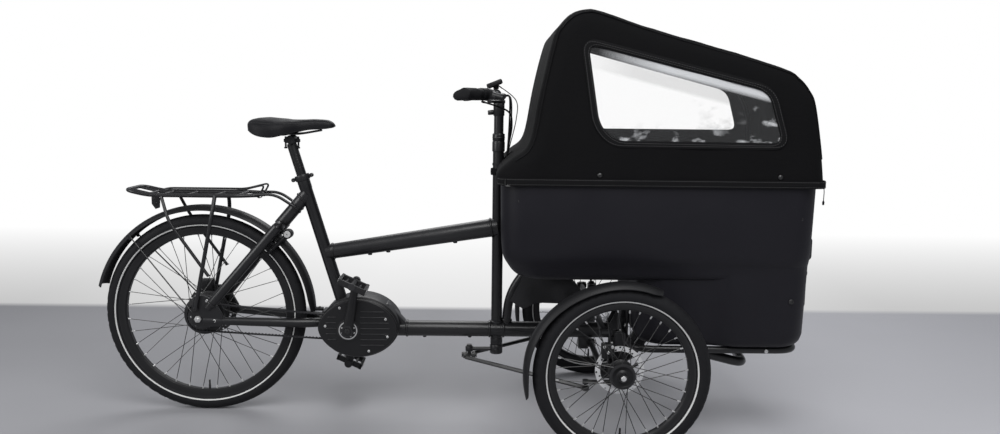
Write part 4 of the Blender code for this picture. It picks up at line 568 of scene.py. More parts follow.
REAR_R, FRONT_R = 0.328, 0.257
WHEELBASE, HALF_TRACK = 1.317, 0.4
REAR = at(0, 0, REAR_R)
FRONT = {side: at(WHEELBASE, side * HALF_TRACK, FRONT_R) for side in (-1, 1)}
SIDE_NAMES = {-1: "right", 1: "left"}


def tyre(name, centre, outer_r, width, stripe_r, body, cad):
    """Round-section tyre with a blocked tread and a pale stripe on each wall."""
    half = width / 2
    middle = outer_r - half
    stripe = [degrees(acos((stripe_r + d - middle) / half)) for d in (0.002, -0.002)]
    one_side = sorted([4, 9, 10, 13, 14, 22, 32, 42, 52, 60, 63, 74, 86, 97, 142, 150] + stripe)
    angles = [-a for a in reversed(one_side)] + [0] + one_side
    profile = [(middle + half * cos(radians(a)), half * sin(radians(a))) for a in angles]
    mats = []
    for first, second in zip(angles, angles[1:]):
        span = (abs(first) + abs(second)) / 2
        mats.append(1 if stripe[0] < span < stripe[1] else 0)
    mats.append(0)

    def tread(k, index):
        a = abs(angles[index])
        if 10 <= a <= 13:
            return -0.0014
        if 14 <= a <= 60 and (k + (2 if angles[index] > 0 else 0)) % 5 == 0:
            return -0.0018
        return 0.0

    bm = bmesh.new()
    lathe(bm, profile, centre, steps=280, mats=mats, closed=True, wobble=tread)
    piece(name, bm, [RUBBER, STRIPE], body, [cad], sharp=50)


def spoked(name, centre, rim_r, rim_in, flange_r, flange_y, hub, spokes, body, cad, facing=1):
    """Rim, valve, crossed spokes with bright nipples, and a hub from its profile."""
    bm = bmesh.new()
    lip = rim_r + 0.0085
    half_rim = [(rim_in, 0.007), (rim_in + 0.004, 0.012), (rim_r, 0.0146), (lip - 0.001, 0.0152),
                (lip, 0.0144), (lip - 0.001, 0.0134), (rim_r - 0.002, 0.0128)]
    lathe(bm, half_rim + [(r, -y) for r, y in reversed(half_rim)], centre, steps=96, closed=True)
    lathe(bm, [(r, facing * along) for r, along in hub], centre, steps=48)
    for k in range(spokes):
        angle = 2 * pi * (k + 0.5) / spokes
        wing = 1 if k % 2 else -1
        lean = 0.62 if (k // 2) % 2 else -0.62
        root = centre + polar(flange_r, angle + lean, wing * flange_y)
        tip = centre + polar(rim_in + 0.002, angle, wing * 0.003)
        sweep(bm, [root, tip], 0.00115, sides=6, mat=1)
        back = (root - tip).normalized()
        sweep(bm, [tip, tip + back * 0.01, tip + back * 0.012], [0.0026, 0.0023, 0.0014], sides=8,
              mat=2)
        sweep(bm, [root - vec(0, wing * 0.003, 0), root + vec(0, wing * 0.0022, 0)], 0.0022,
              sides=8, mat=1)
    valve = centre + vec(0, 0, -rim_in)
    sweep(bm, [valve + vec(0, 0, rise) for rise in (-0.002, 0.014, 0.0145, 0.03)],
          [0.004, 0.004, 0.003, 0.003], sides=10)
    piece(name, bm, [ALLOY, DARK_STEEL, STEEL], body, [cad])


def drilled_disc(name, centre, outer_r, band, hub_r, y, body, cad, steel, cells=36, arms=6):
    """Brake disc: a drilled band on a curved spider with its fixing screws."""
    hole_r, rows = 0.0032, 2
    part = bmesh.new()
    for k in range(cells):
        for row in range(rows):
            low_r, high_r = (outer_r - band + band * (row + d) / rows for d in (0, 1))
            a0, a1 = (2 * pi * (k + d) / cells for d in (0, 1))
            am, rm = (a0 + a1) / 2, (low_r + high_r) / 2
            border = [(low_r, a0), (low_r, am), (low_r, a1), (rm, a1), (high_r, a1), (high_r, am),
                      (high_r, a0), (rm, a0)]
            around = [part.verts.new(polar(r, a)) for r, a in border]
            if (k + row) % 2:
                part.faces.new(around)
                continue
            hole = []
            for turn in (radians(225 - 45 * index) for index in range(8)):
                hole.append(part.verts.new(polar(rm + hole_r * sin(turn),
                                                 am + hole_r * cos(turn) / rm)))
            orders = [order[s:] + order[:s] for order in (hole, hole[::-1]) for s in range(8)]
            ring = min(orders, key=lambda order: sum((p.co - q.co).length
                                                     for p, q in zip(around, order)))
            for i in range(8):
                part.faces.new((around[i], around[(i + 1) % 8], ring[(i + 1) % 8], ring[i]))
    bmesh.ops.remove_doubles(part, verts=part.verts[:], dist=1e-6)
    bmesh.ops.recalc_face_normals(part, faces=part.faces[:])
    bmesh.ops.solidify(part, geom=part.faces[:], thickness=0.0019)
    middle = centre + vec(0, y, 0)
    bm = bmesh.new()
    add(bm, part, Matrix.Translation(middle), 0)
    for k in range(arms):
        angle = 2 * pi * k / arms
        line = []
        for step in range(7):
            r = hub_r + (outer_r - band * 0.8 - hub_r) * step / 6
            a = angle + 0.34 * sin(pi / 2 * step / 6)
            line.append(middle + polar(r, a))
        sweep(bm, line, [0.0068, 0.0056, 0.005, 0.0047, 0.0047, 0.0052, 0.0064], sides=10, mat=1,
              flat=0.3, up=(0, 1, 0))
        bolt(bm, line[-1], (0, -1 if y < 0 else 1, 0), 0.0032, 0.0018, mat=2)
    lathe(bm, [(hub_r * 0.72, -0.002), (hub_r + 0.004, -0.002), (hub_r + 0.005, 0.0),
               (hub_r + 0.004, 0.002), (hub_r * 0.72, 0.002)], middle, closed=True, mat=1)
    piece(name, bm, [steel, ALLOY, STEEL], body, [cad])


tyre("rear_tyre_treaded", REAR, REAR_R, 0.047, 0.2945, "rear_wheel", "rear_tyre")
FINS = []
for fin in range(8):
    start = -0.025 + 0.0062 * fin
    FINS += [(0.06, start), (0.06, start + 0.0024), (0.057, start + 0.003), (0.057, start + 0.0056)]
REAR_HUB = [(0.0075, -0.05), (0.022, -0.05), (0.026, -0.047), (0.05, -0.036), (0.0655, -0.032),
            (0.066, -0.0275)] + FINS
REAR_HUB += [(0.066, 0.0275), (0.0655, 0.032), (0.046, 0.04), (0.026, 0.046), (0.024, 0.056),
             (0.0075, 0.056)]
FRONT_HUB = [(0.0085, 0.033), (0.013, 0.033), (0.0145, 0.031), (0.0145, 0.026), (0.02, 0.0225),
             (0.027, 0.0235), (0.03, 0.0255), (0.037, 0.024), (0.038, 0.0205), (0.036, 0.0185),
             (0.027, 0.016), (0.024, 0.0), (0.027, -0.016), (0.036, -0.0185), (0.038, -0.0205),
             (0.037, -0.024), (0.022, -0.028), (0.018, -0.032), (0.018, -0.0445), (0.0085, -0.0445)]
SPOKES = 36
spoked("rear_wheel_spoked", REAR, 0.281, 0.262, 0.061, 0.0285, REAR_HUB, SPOKES, "rear_wheel",
       "rear_wheel")
drilled_disc("rear_brake_disc", REAR, 0.082, 0.016, 0.02, 0.058, "rear_wheel", "rear_disc",
             DARK_STEEL)
for side, word in SIDE_NAMES.items():
    body = f"front_wheel_{word}"
    tyre(f"front_tyre_{word}_treaded", FRONT[side], FRONT_R, 0.05, 0.2175, body,
         f"front_tyre_{word}")
    spoked(f"front_wheel_{word}_spoked", FRONT[side], 0.2035, 0.1915, 0.034, 0.021, FRONT_HUB,
           SPOKES, body, f"front_wheel_{word}", facing=side)
    drilled_disc(f"front_brake_disc_{word}", FRONT[side], 0.072, 0.015, 0.0185, side * -0.042, body,
                 f"front_disc_{word}", DISC_STEEL, cells=30, arms=5)


# Mudguards

def guard(bm, centre, radius, width, start, end, steps, point=0.0, flare=0.0):
    """A thin curved blade with rolled edges; point is the share drawn to a tip at its end,
    flare how far its tail stands off."""
    half = width / 2
    rows = []
    for step in range(steps + 1):
        share = step / steps
        angle = radians(start + (end - start) * share)
        tail = min(1.0, max(0.0, (share - 0.3) / 0.5))
        reach = radius + flare * tail * tail * (3 - 2 * tail)
        narrow = 1.0
        if point and share > 1 - point:
            narrow = max(0.06, sqrt(max(0.0, 1 - ((share - 1 + point) / point) ** 2)))
        if share < 0.04:
            narrow = 0.75 + 0.25 * share / 0.04
        out = polar(1.0, angle)
        row = []
        for depth, wide, order in ((0.0, 1.0, range(13)), (0.0022, 0.985, reversed(range(13)))):
            for t in (-1 + k / 6 for k in order):
                fall = depth + 0.015 * abs(t) ** 3.2 * narrow
                across = vec(0, half * t * narrow * wide, 0)
                row.append(bm.verts.new(centre + out * (reach - fall) + across))
        rows.append(row)
    skin(bm, rows)


bm = bmesh.new()
guard(bm, REAR, 0.36, 0.064, 1.5, 165.3, 90)
for side in (-1, 1):
    lean = radians(132)
    tip = REAR + polar(0.345, lean, side * 0.0315)
    sweep(bm, [at(-0.015, side * 0.0765, 0.338), at(-0.03, side * 0.073, 0.352), tip], 0.0022,
          sides=10, mat=1)
    bolt(bm, tip + vec(0, side * 0.0005, 0), (0, side, 0), 0.0048, 0.0034, mat=1)
    sweep(bm, [tip - vec(0, 0, 0.01), tip + vec(0, 0, 0.006)], 0.0042, sides=10, mat=0)
solid_box(bm, at(0.35, -0.01, 0.338), at(0.3837, 0.01, 0.348), 0.002)
bolt(bm, at(0.372, 0, 0.348), (0, 0, 1), 0.004, 0.003, mat=1)
piece("rear_mudguard_blade", bm, [PLASTIC, DARK_STEEL], "frame", ["rear_mudguard"])

for side, word in SIDE_NAMES.items():
    bm = bmesh.new()
    guard(bm, FRONT[side], 0.272, 0.062, 66, 196, 72, point=0.14, flare=0.013)
    edge = side * (HALF_TRACK - 0.031)
    sweep(bm, rounded([at(1.312, side * 0.339, 0.3695), at(1.312, side * 0.343, 0.4),
                       at(1.312, edge - side * 0.003, 0.446),
                       at(1.312, edge + side * 0.001, 0.516)], 0.02), 0.004, sides=12, mat=1)
    solid_box(bm, at(1.304, min(side * 0.349, side * 0.331), 0.3666),
              at(1.324, max(side * 0.349, side * 0.331), 0.3716), 0.0015, mat=1)
    bolt(bm, at(1.318, side * 0.34, 0.3716), (0, 0, 1), 0.0038, 0.003, mat=2)
    bolt(bm, at(1.312, edge - side * 0.004, 0.505), (0, -side, 0), 0.0045, 0.003, mat=2)
    piece(f"front_mudguard_{word}_blade", bm, [PLASTIC, DARK_STEEL, STEEL], f"knuckle_{word}",
          [f"front_mudguard_{word}"])


# Drive: motor, belt, pulleys, cranks and pedals

CRANK_X, CRANK_Z, CRANK_R = 0.479, 0.293, 0.168
CRANK = at(CRANK_X, 0, CRANK_Z)
BELT_Y, BELT_PITCH = -0.0595, 0.011
REAR_TEETH, FRONT_TEETH = 26, 22
REAR_PULLEY_R = REAR_TEETH * BELT_PITCH / (2 * pi)
FRONT_PULLEY_R = FRONT_TEETH * BELT_PITCH / (2 * pi)
MOTOR_X, MOTOR_Z, MOTOR_HALF_L = 0.509, 0.299, 0.131


def lens(scale=1.0):
    """The motor's side view: two arcs that meet in points."""
    made = []
    for bulge in (1, -1):
        for angle in (pi * step / 28 for step in range(28)):
            made.append((MOTOR_X - bulge * MOTOR_HALF_L * scale * cos(angle),
                         MOTOR_Z + bulge * 0.096 * scale * sin(angle) ** 1.15))
    return made


bm = bmesh.new()
slab(bm, lens(), -0.05, 0.06, bevel=0.012, segments=5)
slab(bm, lens(0.985), -0.0815, -0.068, bevel=0.0055, segments=5)
rim = [(x, z) for x, z in lens(0.93) if x > 0.43]
rim.sort(key=lambda p: atan2(p[1] - MOTOR_Z, p[0] - 0.43))
sweep(bm, [at(x, -0.059, z) for x, z in rim], 0.0125, sides=12)
for k in range(7):
    z = 0.244 + 0.0184 * k
    reach = MOTOR_HALF_L * 0.8 * sqrt(max(0.05, 1 - ((z - MOTOR_Z) / 0.098) ** 2))
    for first, last in ((MOTOR_X - reach, 0.441), (0.517, MOTOR_X + reach)):
        if last - first > 0.02:
            sweep(bm, [at(first, -0.0812, z), at(first + 0.004, -0.0824, z),
                       at(last - 0.004, -0.0824, z), at(last, -0.0812, z)],
                  [0.0004, 0.0017, 0.0017, 0.0004], sides=8)
face = CRANK + vec(0, -0.0815, 0)
lathe(bm, [(0.0115, 0.0), (0.034, 0.0), (0.036, -0.0015), (0.036, -0.0025), (0.034, -0.0032),
           (0.0115, -0.0032)], face, closed=True, mat=0)
lathe(bm, [(0.0265, -0.003), (0.03, -0.003), (0.0303, -0.0036), (0.03, -0.0042), (0.0265, -0.0042),
           (0.0262, -0.0036)], face, closed=True, mat=1)
for k in range(8):
    angle = 2 * pi * (k + 0.5) / 8
    bolt(bm, face + polar(0.0215, angle, -0.003), (0, -1, 0), 0.0026, 0.0018, mat=1)
for x, z in ((0.405, 0.306), (0.6, 0.33), (0.606, 0.272), (0.452, 0.366), (0.545, 0.224)):
    bolt(bm, at(x, -0.0813, z), (0, -1, 0), 0.0042, 0.0024, mat=1)
    bolt(bm, at(x, 0.0598, z), (0, 1, 0), 0.0042, 0.0024, mat=1)
lathe(bm, [(0.012, 0.0598), (0.046, 0.0598), (0.047, 0.062), (0.044, 0.064), (0.014, 0.064)], CRANK,
      closed=True)
for k in range(9):
    z = 0.236 + 0.0158 * k
    sweep(bm, [at(0.545, 0.0596, z), at(0.549, 0.0612, z), at(0.586, 0.0612, z),
               at(0.59, 0.0596, z)], [0.0004, 0.0018, 0.0018, 0.0004], sides=8)
piece("motor_case", bm, [ALLOY, STEEL], "frame", ["motor_housing"])

bm = bmesh.new()
front, rear = Vector((CRANK_X, CRANK_Z)), Vector((0.0, REAR_R))
slope = atan2(front.y - rear.y, front.x - rear.x)
wrap = acos((REAR_PULLEY_R - FRONT_PULLEY_R) / (front - rear).length)
line = []
for centre, radius, first, last in ((rear, REAR_PULLEY_R, wrap, 2 * pi - wrap),
                                    (front, FRONT_PULLEY_R, -wrap, wrap)):
    for step in range(41):
        angle = slope + first + (last - first) * step / 40
        line.append(centre + radius * Vector((cos(angle), sin(angle))))
line.append(line[0])
walk, spaced = 0.0, []
pitch = BELT_PITCH / 4
for a, b in zip(line, line[1:]):
    length = (b - a).length
    while walk < length:
        spaced.append(a.lerp(b, walk / length))
        walk += pitch
    walk -= length
spaced = spaced[:len(spaced) - len(spaced) % 4]
rows = []
for k, place in enumerate(spaced):
    along = (spaced[(k + 1) % len(spaced)] - spaced[k - 1]).normalized()
    inward = Vector((-along.y, along.x))
    depth = 0.0019 if k % 4 < 2 else 0.0002
    row = []
    for shift, y in ((-0.0022, -0.006), (-0.0022, 0.006), (depth, 0.006), (depth, -0.006)):
        spot = place + inward * shift
        row.append(bm.verts.new(at(spot.x, BELT_Y + y, spot.y)))
    rows.append(row)
skin(bm, rows, closed=True)
piece("toothed_belt", bm, [RUBBER], "frame", ["drive_belt"], sharp=30)

for name, centre, radius, teeth, cad in (
        ("rear_pulley_toothed", REAR, REAR_PULLEY_R, REAR_TEETH, "rear_pulley"),
        ("front_pulley_toothed", CRANK, FRONT_PULLEY_R, FRONT_TEETH, "front_pulley")):
    bm = bmesh.new()
    root = radius - 0.0042
    bore = 0.0205 if cad == "rear_pulley" else 0.0125
    lathe(bm, [(root, -0.0045), (root, 0.0045), (bore, 0.0045), (bore, -0.0045)],
          centre + vec(0, BELT_Y, 0), steps=teeth * 4, closed=True,
          wobble=lambda k, index: 0.0018 if index < 2 and k % 4 < 2 else 0.0)
    for k in range(6):
        angle = 2 * pi * k / 6
        bolt(bm, centre + polar(radius * 0.68, angle, BELT_Y - 0.0044), (0, -1, 0), 0.0034, 0.0022,
             mat=1)
    if cad == "rear_pulley":
        lathe(bm, [(bore, -0.0045), (0.024, -0.0045), (0.024, -0.009), (0.022, -0.01),
                   (0.0085, -0.01), (0.0085, -0.0045)], centre + vec(0, BELT_Y, 0), closed=True)
    piece(name, bm, [ALLOY, STEEL], cad, [cad], sharp=30)

LEAN = radians(10)
TIPS = {side: CRANK - side * CRANK_R * vec(sin(LEAN), 0, cos(LEAN)) for side in SIDE_NAMES}
for side, word in SIDE_NAMES.items():
    y = vec(0, side * 0.093, 0)
    root, tip = CRANK + y, TIPS[side] + y
    outward = vec(0, side, 0)
    bm = bmesh.new()
    shares = [0.0, 0.06, 0.14, 0.4, 0.7, 0.9, 0.97, 1.0]
    radii = [0.0185, 0.018, 0.0165, 0.0145, 0.0128, 0.0126, 0.0124, 0.0115]
    sweep(bm, [root.lerp(tip, s) for s in shares], radii, sides=20, flat=0.5, up=(0, 1, 0))
    lathe(bm, [(0.0, -0.0098), (0.017, -0.0098), (0.0185, -0.0082), (0.0185, 0.0082),
               (0.017, 0.0098), (0.0112, 0.0098), (0.0105, 0.008), (0.0, 0.008)], root, outward)
    bolt(bm, root + outward * 0.008, outward, 0.0095, 0.003, mat=1)
    collar(bm, tip, outward, 0.0, 0.0125, 0.0138, -0.0095, 0.0095, 0.0015, 48)
    sweep(bm, [tip + outward * 0.004, tip + outward * 0.0965], 0.0058, sides=14, mat=1)
    if side > 0:
        sweep(bm, [root, CRANK - vec(0, 0.101, 0)], 0.0098, sides=20, mat=1)
    piece(f"crank_arm_{word}", bm, [ALLOY, DARK_STEEL], "crank", [f"crank_{word}"])

    bm = bmesh.new()
    for x in (-0.0415, 0.0415):
        solid_box(bm, (x - 0.0045, 0.002, -0.0105), (x + 0.0045, 0.084, 0.0105), 0.002)
        for k in range(7):
            y_at = 0.012 + 0.0105 * k
            for z in (-0.0105, 0.0105):
                sweep(bm, [(x - 0.0044, y_at, z), (x + 0.0044, y_at, z)], 0.002, sides=6)
    for y_at in (0.0065, 0.08):
        solid_box(bm, (-0.044, y_at - 0.0045, -0.0095), (0.044, y_at + 0.0045, 0.0095), 0.002)
    for x in (-0.0225, 0.0225):
        sweep(bm, [(x, 0.004, 0), (x, 0.082, 0)], 0.0042, sides=12)
    sweep(bm, [(0, 0.001, 0), (0, 0.012, 0), (0, 0.0125, 0), (0, 0.072, 0), (0, 0.0725, 0),
               (0, 0.0852, 0)], [0.0105, 0.0105, 0.0092, 0.0092, 0.0108, 0.0108], sides=20)
    for x in (-0.0468, 0.0468):
        solid_box(bm, (x - 0.0012, 0.022, -0.0062), (x + 0.0012, 0.064, 0.0062), 0.0006, mat=1)
    bm.transform(Matrix.Translation(vec(TIPS[side].x, side * 0.1045, TIPS[side].z))
                 @ Matrix.Rotation(radians(24), 4, "Y") @ Matrix.Diagonal((1, side, 1, 1)))
    piece(f"pedal_{word}_cage", bm, [ALLOY, GREY_PLASTIC], f"pedal_{word}", [f"pedal_{word}"])


# Frame

SEAT_LEAN = 0.302
HEAD_X = 0.959
BEAM_Z, BEAM_R = 0.28, 0.0255
DROPOUT_Y, DROPOUT_FACE_Y = 0.084, 0.0893


def seat_line(z):
    return at(0.326 + (0.77 - z) * SEAT_LEAN, 0, z)


STAY_YOKE = at(0.248, 0, 0.622)


def stay_ends(side):
    """Top and foot of a seat stay."""
    return STAY_YOKE + vec(-0.004, side * 0.06, -0.008), at(0.03, side * DROPOUT_Y, 0.362)


bm = bmesh.new()
sweep(bm, [seat_line(0.352), seat_line(0.7), seat_line(0.74), seat_line(0.745), seat_line(0.77)],
      [0.0195, 0.0195, 0.0195, 0.0206, 0.0206], sides=40)
main_a, main_b = seat_line(0.534), at(HEAD_X, 0, 0.624)
MAIN_AXIS = (main_b - main_a).normalized()
sweep(bm, [main_a, main_b], [0.0245, 0.03], sides=48)
weld(bm, main_a + MAIN_AXIS * 0.023, MAIN_AXIS, 0.0243)
weld(bm, main_b - MAIN_AXIS * 0.021, MAIN_AXIS, 0.0298)
sweep(bm, [at(HEAD_X, 0, z) for z in (0.228, 0.231, 0.25, 0.252, 0.87, 0.872, 0.9, 0.905)],
      [0.0178, 0.02, 0.02, 0.018, 0.018, 0.0205, 0.0205, 0.019], sides=40)
sweep(bm, [at(x, 0, BEAM_Z) for x in (0.628, 1.345, 1.352)], [BEAM_R, BEAM_R, 0.0235], sides=48)
for x in (0.662, 0.936, 0.982):
    weld(bm, at(x, 0, BEAM_Z), (1, 0, 0), BEAM_R - 0.0002)
weld(bm, at(HEAD_X, 0, 0.306), (0, 0, 1), 0.0185)
solid_box(bm, at(0.414, -0.03, 0.34), at(0.604, 0.03, 0.368), 0.006)
solid_box(bm, at(0.384, -0.03, 0.292), at(0.424, 0.03, 0.342), 0.003)
slab(bm, [(0.59, 0.362), (0.604, 0.362), (0.656, 0.306), (0.656, 0.264), (0.632, 0.264),
          (0.632, 0.306), (0.59, 0.342)], -0.02, 0.02, bevel=0.003)
sweep(bm, rounded([at(0.99, 0, 0.29), at(1.0, 0, 0.4), at(1.06, 0, 0.488)], 0.08), 0.015, sides=28)
weld(bm, at(0.9925, 0, 0.312), (0.09, 0, 1), 0.0152)
solid_box(bm, at(1.03, -0.09, 0.484), at(1.18, 0.09, 0.4997), 0.003)
for y in (-0.07, 0.07):
    for x in (1.05, 1.16):
        bolt(bm, at(x, y, 0.484), (0, 0, -1), 0.007, 0.005, mat=1)
    for z in (0.31, 0.4):
        bolt(bm, at(1.3815, y * 0.75, z), (-1, 0, 0), 0.006, 0.004, mat=1)
BOX_WEB = [(1.002, 0.38), (1.056, 0.486), (1.18, 0.486), (1.238, 0.414), (1.238, 0.366),
           (1.196, 0.35), (1.16, 0.372), (1.09, 0.374), (1.046, 0.352)]
END_WEB = [(1.328, 0.264), (1.384, 0.264), (1.384, 0.424), (1.35, 0.344), (1.328, 0.3)]
for y in (-0.014, 0.014):
    slab(bm, BOX_WEB, y - 0.0025, y + 0.0025, bevel=0.001)
    slab(bm, END_WEB, 2 * y - 0.0025, 2 * y + 0.0025, bevel=0.001)
solid_box(bm, at(1.3815, -0.07, 0.264), at(1.3876, 0.07, 0.432), 0.002)
mono_a = seat_line(0.728)
MONO_AXIS = (STAY_YOKE - mono_a).normalized()
sweep(bm, [mono_a, STAY_YOKE], 0.0215, sides=40)
weld(bm, mono_a + MONO_AXIS * 0.022, MONO_AXIS, 0.0213)
for share in (0.36, 0.46):
    spot = mono_a.lerp(STAY_YOKE, share)
    lathe(bm, [(0.0215, -0.003), (0.0235, -0.0022), (0.0235, 0.0022), (0.0215, 0.003)], spot,
          MONO_AXIS)
yoke = rounded([STAY_YOKE + vec(-0.012, -0.062, -0.016), STAY_YOKE + vec(0.004, -0.045, 0.002),
                STAY_YOKE + vec(0.004, 0.045, 0.002), STAY_YOKE + vec(-0.012, 0.062, -0.016)],
               0.014)
sweep(bm, yoke, 0.0165, sides=28)
DROPOUT = [(-0.022, 0.312), (0.0, 0.3), (0.075, 0.304), (0.08, 0.336), (0.05, 0.392), (0.02, 0.404),
           (-0.014, 0.402), (-0.022, 0.35)]
for side in (-1, 1):
    top, foot = stay_ends(side)
    sweep(bm, [top + (top - foot).normalized() * 0.012, top.lerp(foot, 0.88), foot],
          [0.0165, 0.016, 0.012], sides=32)
    chain = rounded([at(0.015, side * DROPOUT_Y, 0.322), at(0.325, side * 0.052, 0.308),
                     at(0.4, side * 0.028, 0.306)], 0.09, 10)
    sweep(bm, chain, [0.012] + [0.0155] * (len(chain) - 1), sides=32)
    slab(bm, DROPOUT, side * DROPOUT_Y - 0.005, side * DROPOUT_Y + 0.005, bevel=0.002, segments=3)
    bolt(bm, at(0.052, side * 0.089, 0.322), (0, side, 0), 0.0055, 0.0035, mat=1)
    bolt(bm, at(0.03, side * 0.089, 0.388), (0, side, 0), 0.0048, 0.0035, mat=1)
    weld(bm, foot.lerp(top, 0.06), top - foot, 0.0155, 0.003)
for z, low, high in ((0.235, 0.218, 0.27), (0.36, 0.29, 0.377)):
    solid_box(bm, at(1.232, -0.017, low), at(1.2657, 0.017, high), 0.004)
    sweep(bm, [at(1.246, 0, z), at(1.2893, 0, z)], 0.0066, sides=18, mat=1)
    button(bm, at(1.2863, 0, z), (1, 0, 0), 0.0095, 0.012, 0.006, 0.0015, 6, 1)
for x, up in ((0.54, -0.0305), (0.6, -0.031), (0.82, -0.033)):
    spot = main_a.lerp(main_b, (x - 0.397) / (HEAD_X - 0.397))
    button(bm, spot + vec(0, 0, up + 0.006), (0, 0, -1), 0.006, 0.0072, 0.006, 0.0015)
for x in (0.72, 0.87):
    button(bm, at(x, 0, BEAM_Z - 0.0245), (0, 0, -1), 0.005, 0.006, 0.005, 0.0012, 18)
piece("welded_frame", bm, [PAINT, STEEL], "frame", ["main_frame"])

bm = bmesh.new()
for side in (-1, 1):
    lathe(bm, [(0.0, 0.0), (0.0112, 0.0), (0.0112, 0.0075), (0.0095, 0.009), (0.0, 0.009)],
          at(0, side * DROPOUT_FACE_Y, REAR_R), (0, side, 0), steps=6)
    lathe(bm, [(0.0, 0.009), (0.006, 0.009), (0.006, 0.0105), (0.0045, 0.012), (0.0, 0.012)],
          at(0, side * DROPOUT_FACE_Y, REAR_R), (0, side, 0), steps=20)
sweep(bm, [at(0, side * DROPOUT_FACE_Y, REAR_R) for side in (-1, 1)], 0.0058, sides=16)
piece("rear_axle_nuts", bm, [STEEL], "frame", ["rear_axle"])


# Cargo box

BOX_FRONT_X = 1.902
RIM_Z = 0.812
WALL = 0.008


def arc(x, y, first, radius=0.075, steps=9):
    return [(x + radius * cos(a), y + radius * sin(a))
            for a in (radians(first + 90 * k / steps) for k in range(steps + 1))]


def box_ring(rear_x, front_x, half_w, groove_x, front_w=None):
    """One level: rounded corners, a groove behind the head tube, wider ahead of the wheels."""
    left = arc(front_x - 0.075, (front_w or half_w) - 0.075, 0)
    if front_w:
        for k in range(9):
            t = k / 8
            ease = t * t * (3 - 2 * t)
            left.append((1.706 - 0.12 * t, front_w + (half_w - front_w) * ease))
    left += arc(rear_x + 0.075, half_w - 0.075, 90)
    depth = max(rear_x, groove_x) - rear_x
    for k in range(9):
        t = k / 8
        left.append((rear_x + depth * t * t * (3 - 2 * t), 0.058 - 0.026 * t))
    return left + [(x, -y) for x, y in reversed(left)]


def level_loft(levels, ring_at):
    """A closed form through a ring at each level."""
    bm = bmesh.new()
    skin(bm, [[bm.verts.new(at(x, y, level[0])) for x, y in ring_at(level)] for level in levels])
    return loose(bm, "skin")


def tub(inset, top):
    foot = [(0.5, 0.08, 0.075), (0.504, 0.062, 0.06), (0.515, 0.044, 0.045), (0.54, 0.024, 0.033),
            (0.58, 0.006, 0.016), (0.66, 0.002, 0.0085)]
    levels = curve_through(foot, 5) + [vec(RIM_Z, 0, 0)]
    levels = [(v.x + inset if v.x < RIM_Z else top, v.y, v.z) for v in levels]
    return level_loft(levels, lambda v: box_ring(0.966 + v[1] + inset, BOX_FRONT_X - inset,
                                                 0.315 - v[2] - inset, 0.9845 + inset))


def footwell(inset):
    foot = [(0.2945, 0.03, 0.035), (0.2975, 0.019, 0.021), (0.3055, 0.01, 0.011),
            (0.318, 0.004, 0.004), (0.3345, 0.0, 0.0)]
    levels = curve_through(foot, 3) + [vec(z, 0, 0) for z in (0.4, 0.47, 0.52, 0.566)]

    def ring(v):
        rise = max(0.0, (v[0] - inset - 0.3345) / (0.56 - 0.3345))
        rear_x, front_x = 1.388 + v[1] + inset, BOX_FRONT_X - 0.0005 - v[1] - inset
        return box_ring(rear_x, front_x, 0.25 + 0.012 * rise - v[2] - inset, rear_x,
                        0.272 + 0.0165 * rise - v[2] - inset)

    return level_loft([(v.x + inset, v.y, v.z) for v in levels], ring)


def rounded_rect(half_w, low, high, radius, steps=6):
    corners = ((half_w - radius, high - radius, 0), (radius - half_w, high - radius, 90),
               (radius - half_w, low + radius, 180), (half_w - radius, low + radius, 270))
    return [p for y, z, first in corners for p in arc(y, z, first, radius, steps)]


shell = combine(tub(0.0, RIM_Z), footwell(0.0), "UNION")
shell = combine(shell, tub(WALL, RIM_Z + 0.05), "DIFFERENCE")
shell = combine(shell, footwell(WALL), "DIFFERENCE")
bm = bmesh.new()
slab_x(bm, rounded_rect(0.215, 0.412, 0.772, 0.012), BOX_FRONT_X - 0.05, BOX_FRONT_X + 0.05, 0.0)
shell = combine(shell, loose(bm), "DIFFERENCE")
bm = bmesh.new()
bm.from_mesh(shell.data)
drop(shell)
bmesh.ops.triangulate(bm, faces=[f for f in bm.faces if len(f.verts) > 4])
rim = [e for e in bm.edges if all(abs(v.co.z - RIM_Z) < 1e-5 for v in e.verts)
       and not e.calc_face_angle(0) < 0.8]
bmesh.ops.bevel(bm, geom=rim, offset=0.003, segments=3, affect="EDGES", profile=0.5)
piece("moulded_box", bm, [BOX_PLASTIC], "frame", ["cargo_box"], sharp=32)

bm = bmesh.new()
for side in (-1, 1):
    bolt(bm, at(1.838, side * 0.2795, 0.4466), (0, side, 0), 0.0075, 0.0035)
    bolt(bm, at(1.845, side * 0.3035, 0.7), (0, side, 0), 0.0055, 0.0025)
    bolt(bm, at(1.02, side * 0.3045, 0.745), (0, side, 0), 0.0055, 0.0025)
for x in (1.47, 1.7):
    for y in (-0.18, 0.18):
        bolt(bm, at(x, y, 0.2947), (0, 0, -1), 0.007, 0.003)
piece("box_screws", bm, [DARK_STEEL], "frame")

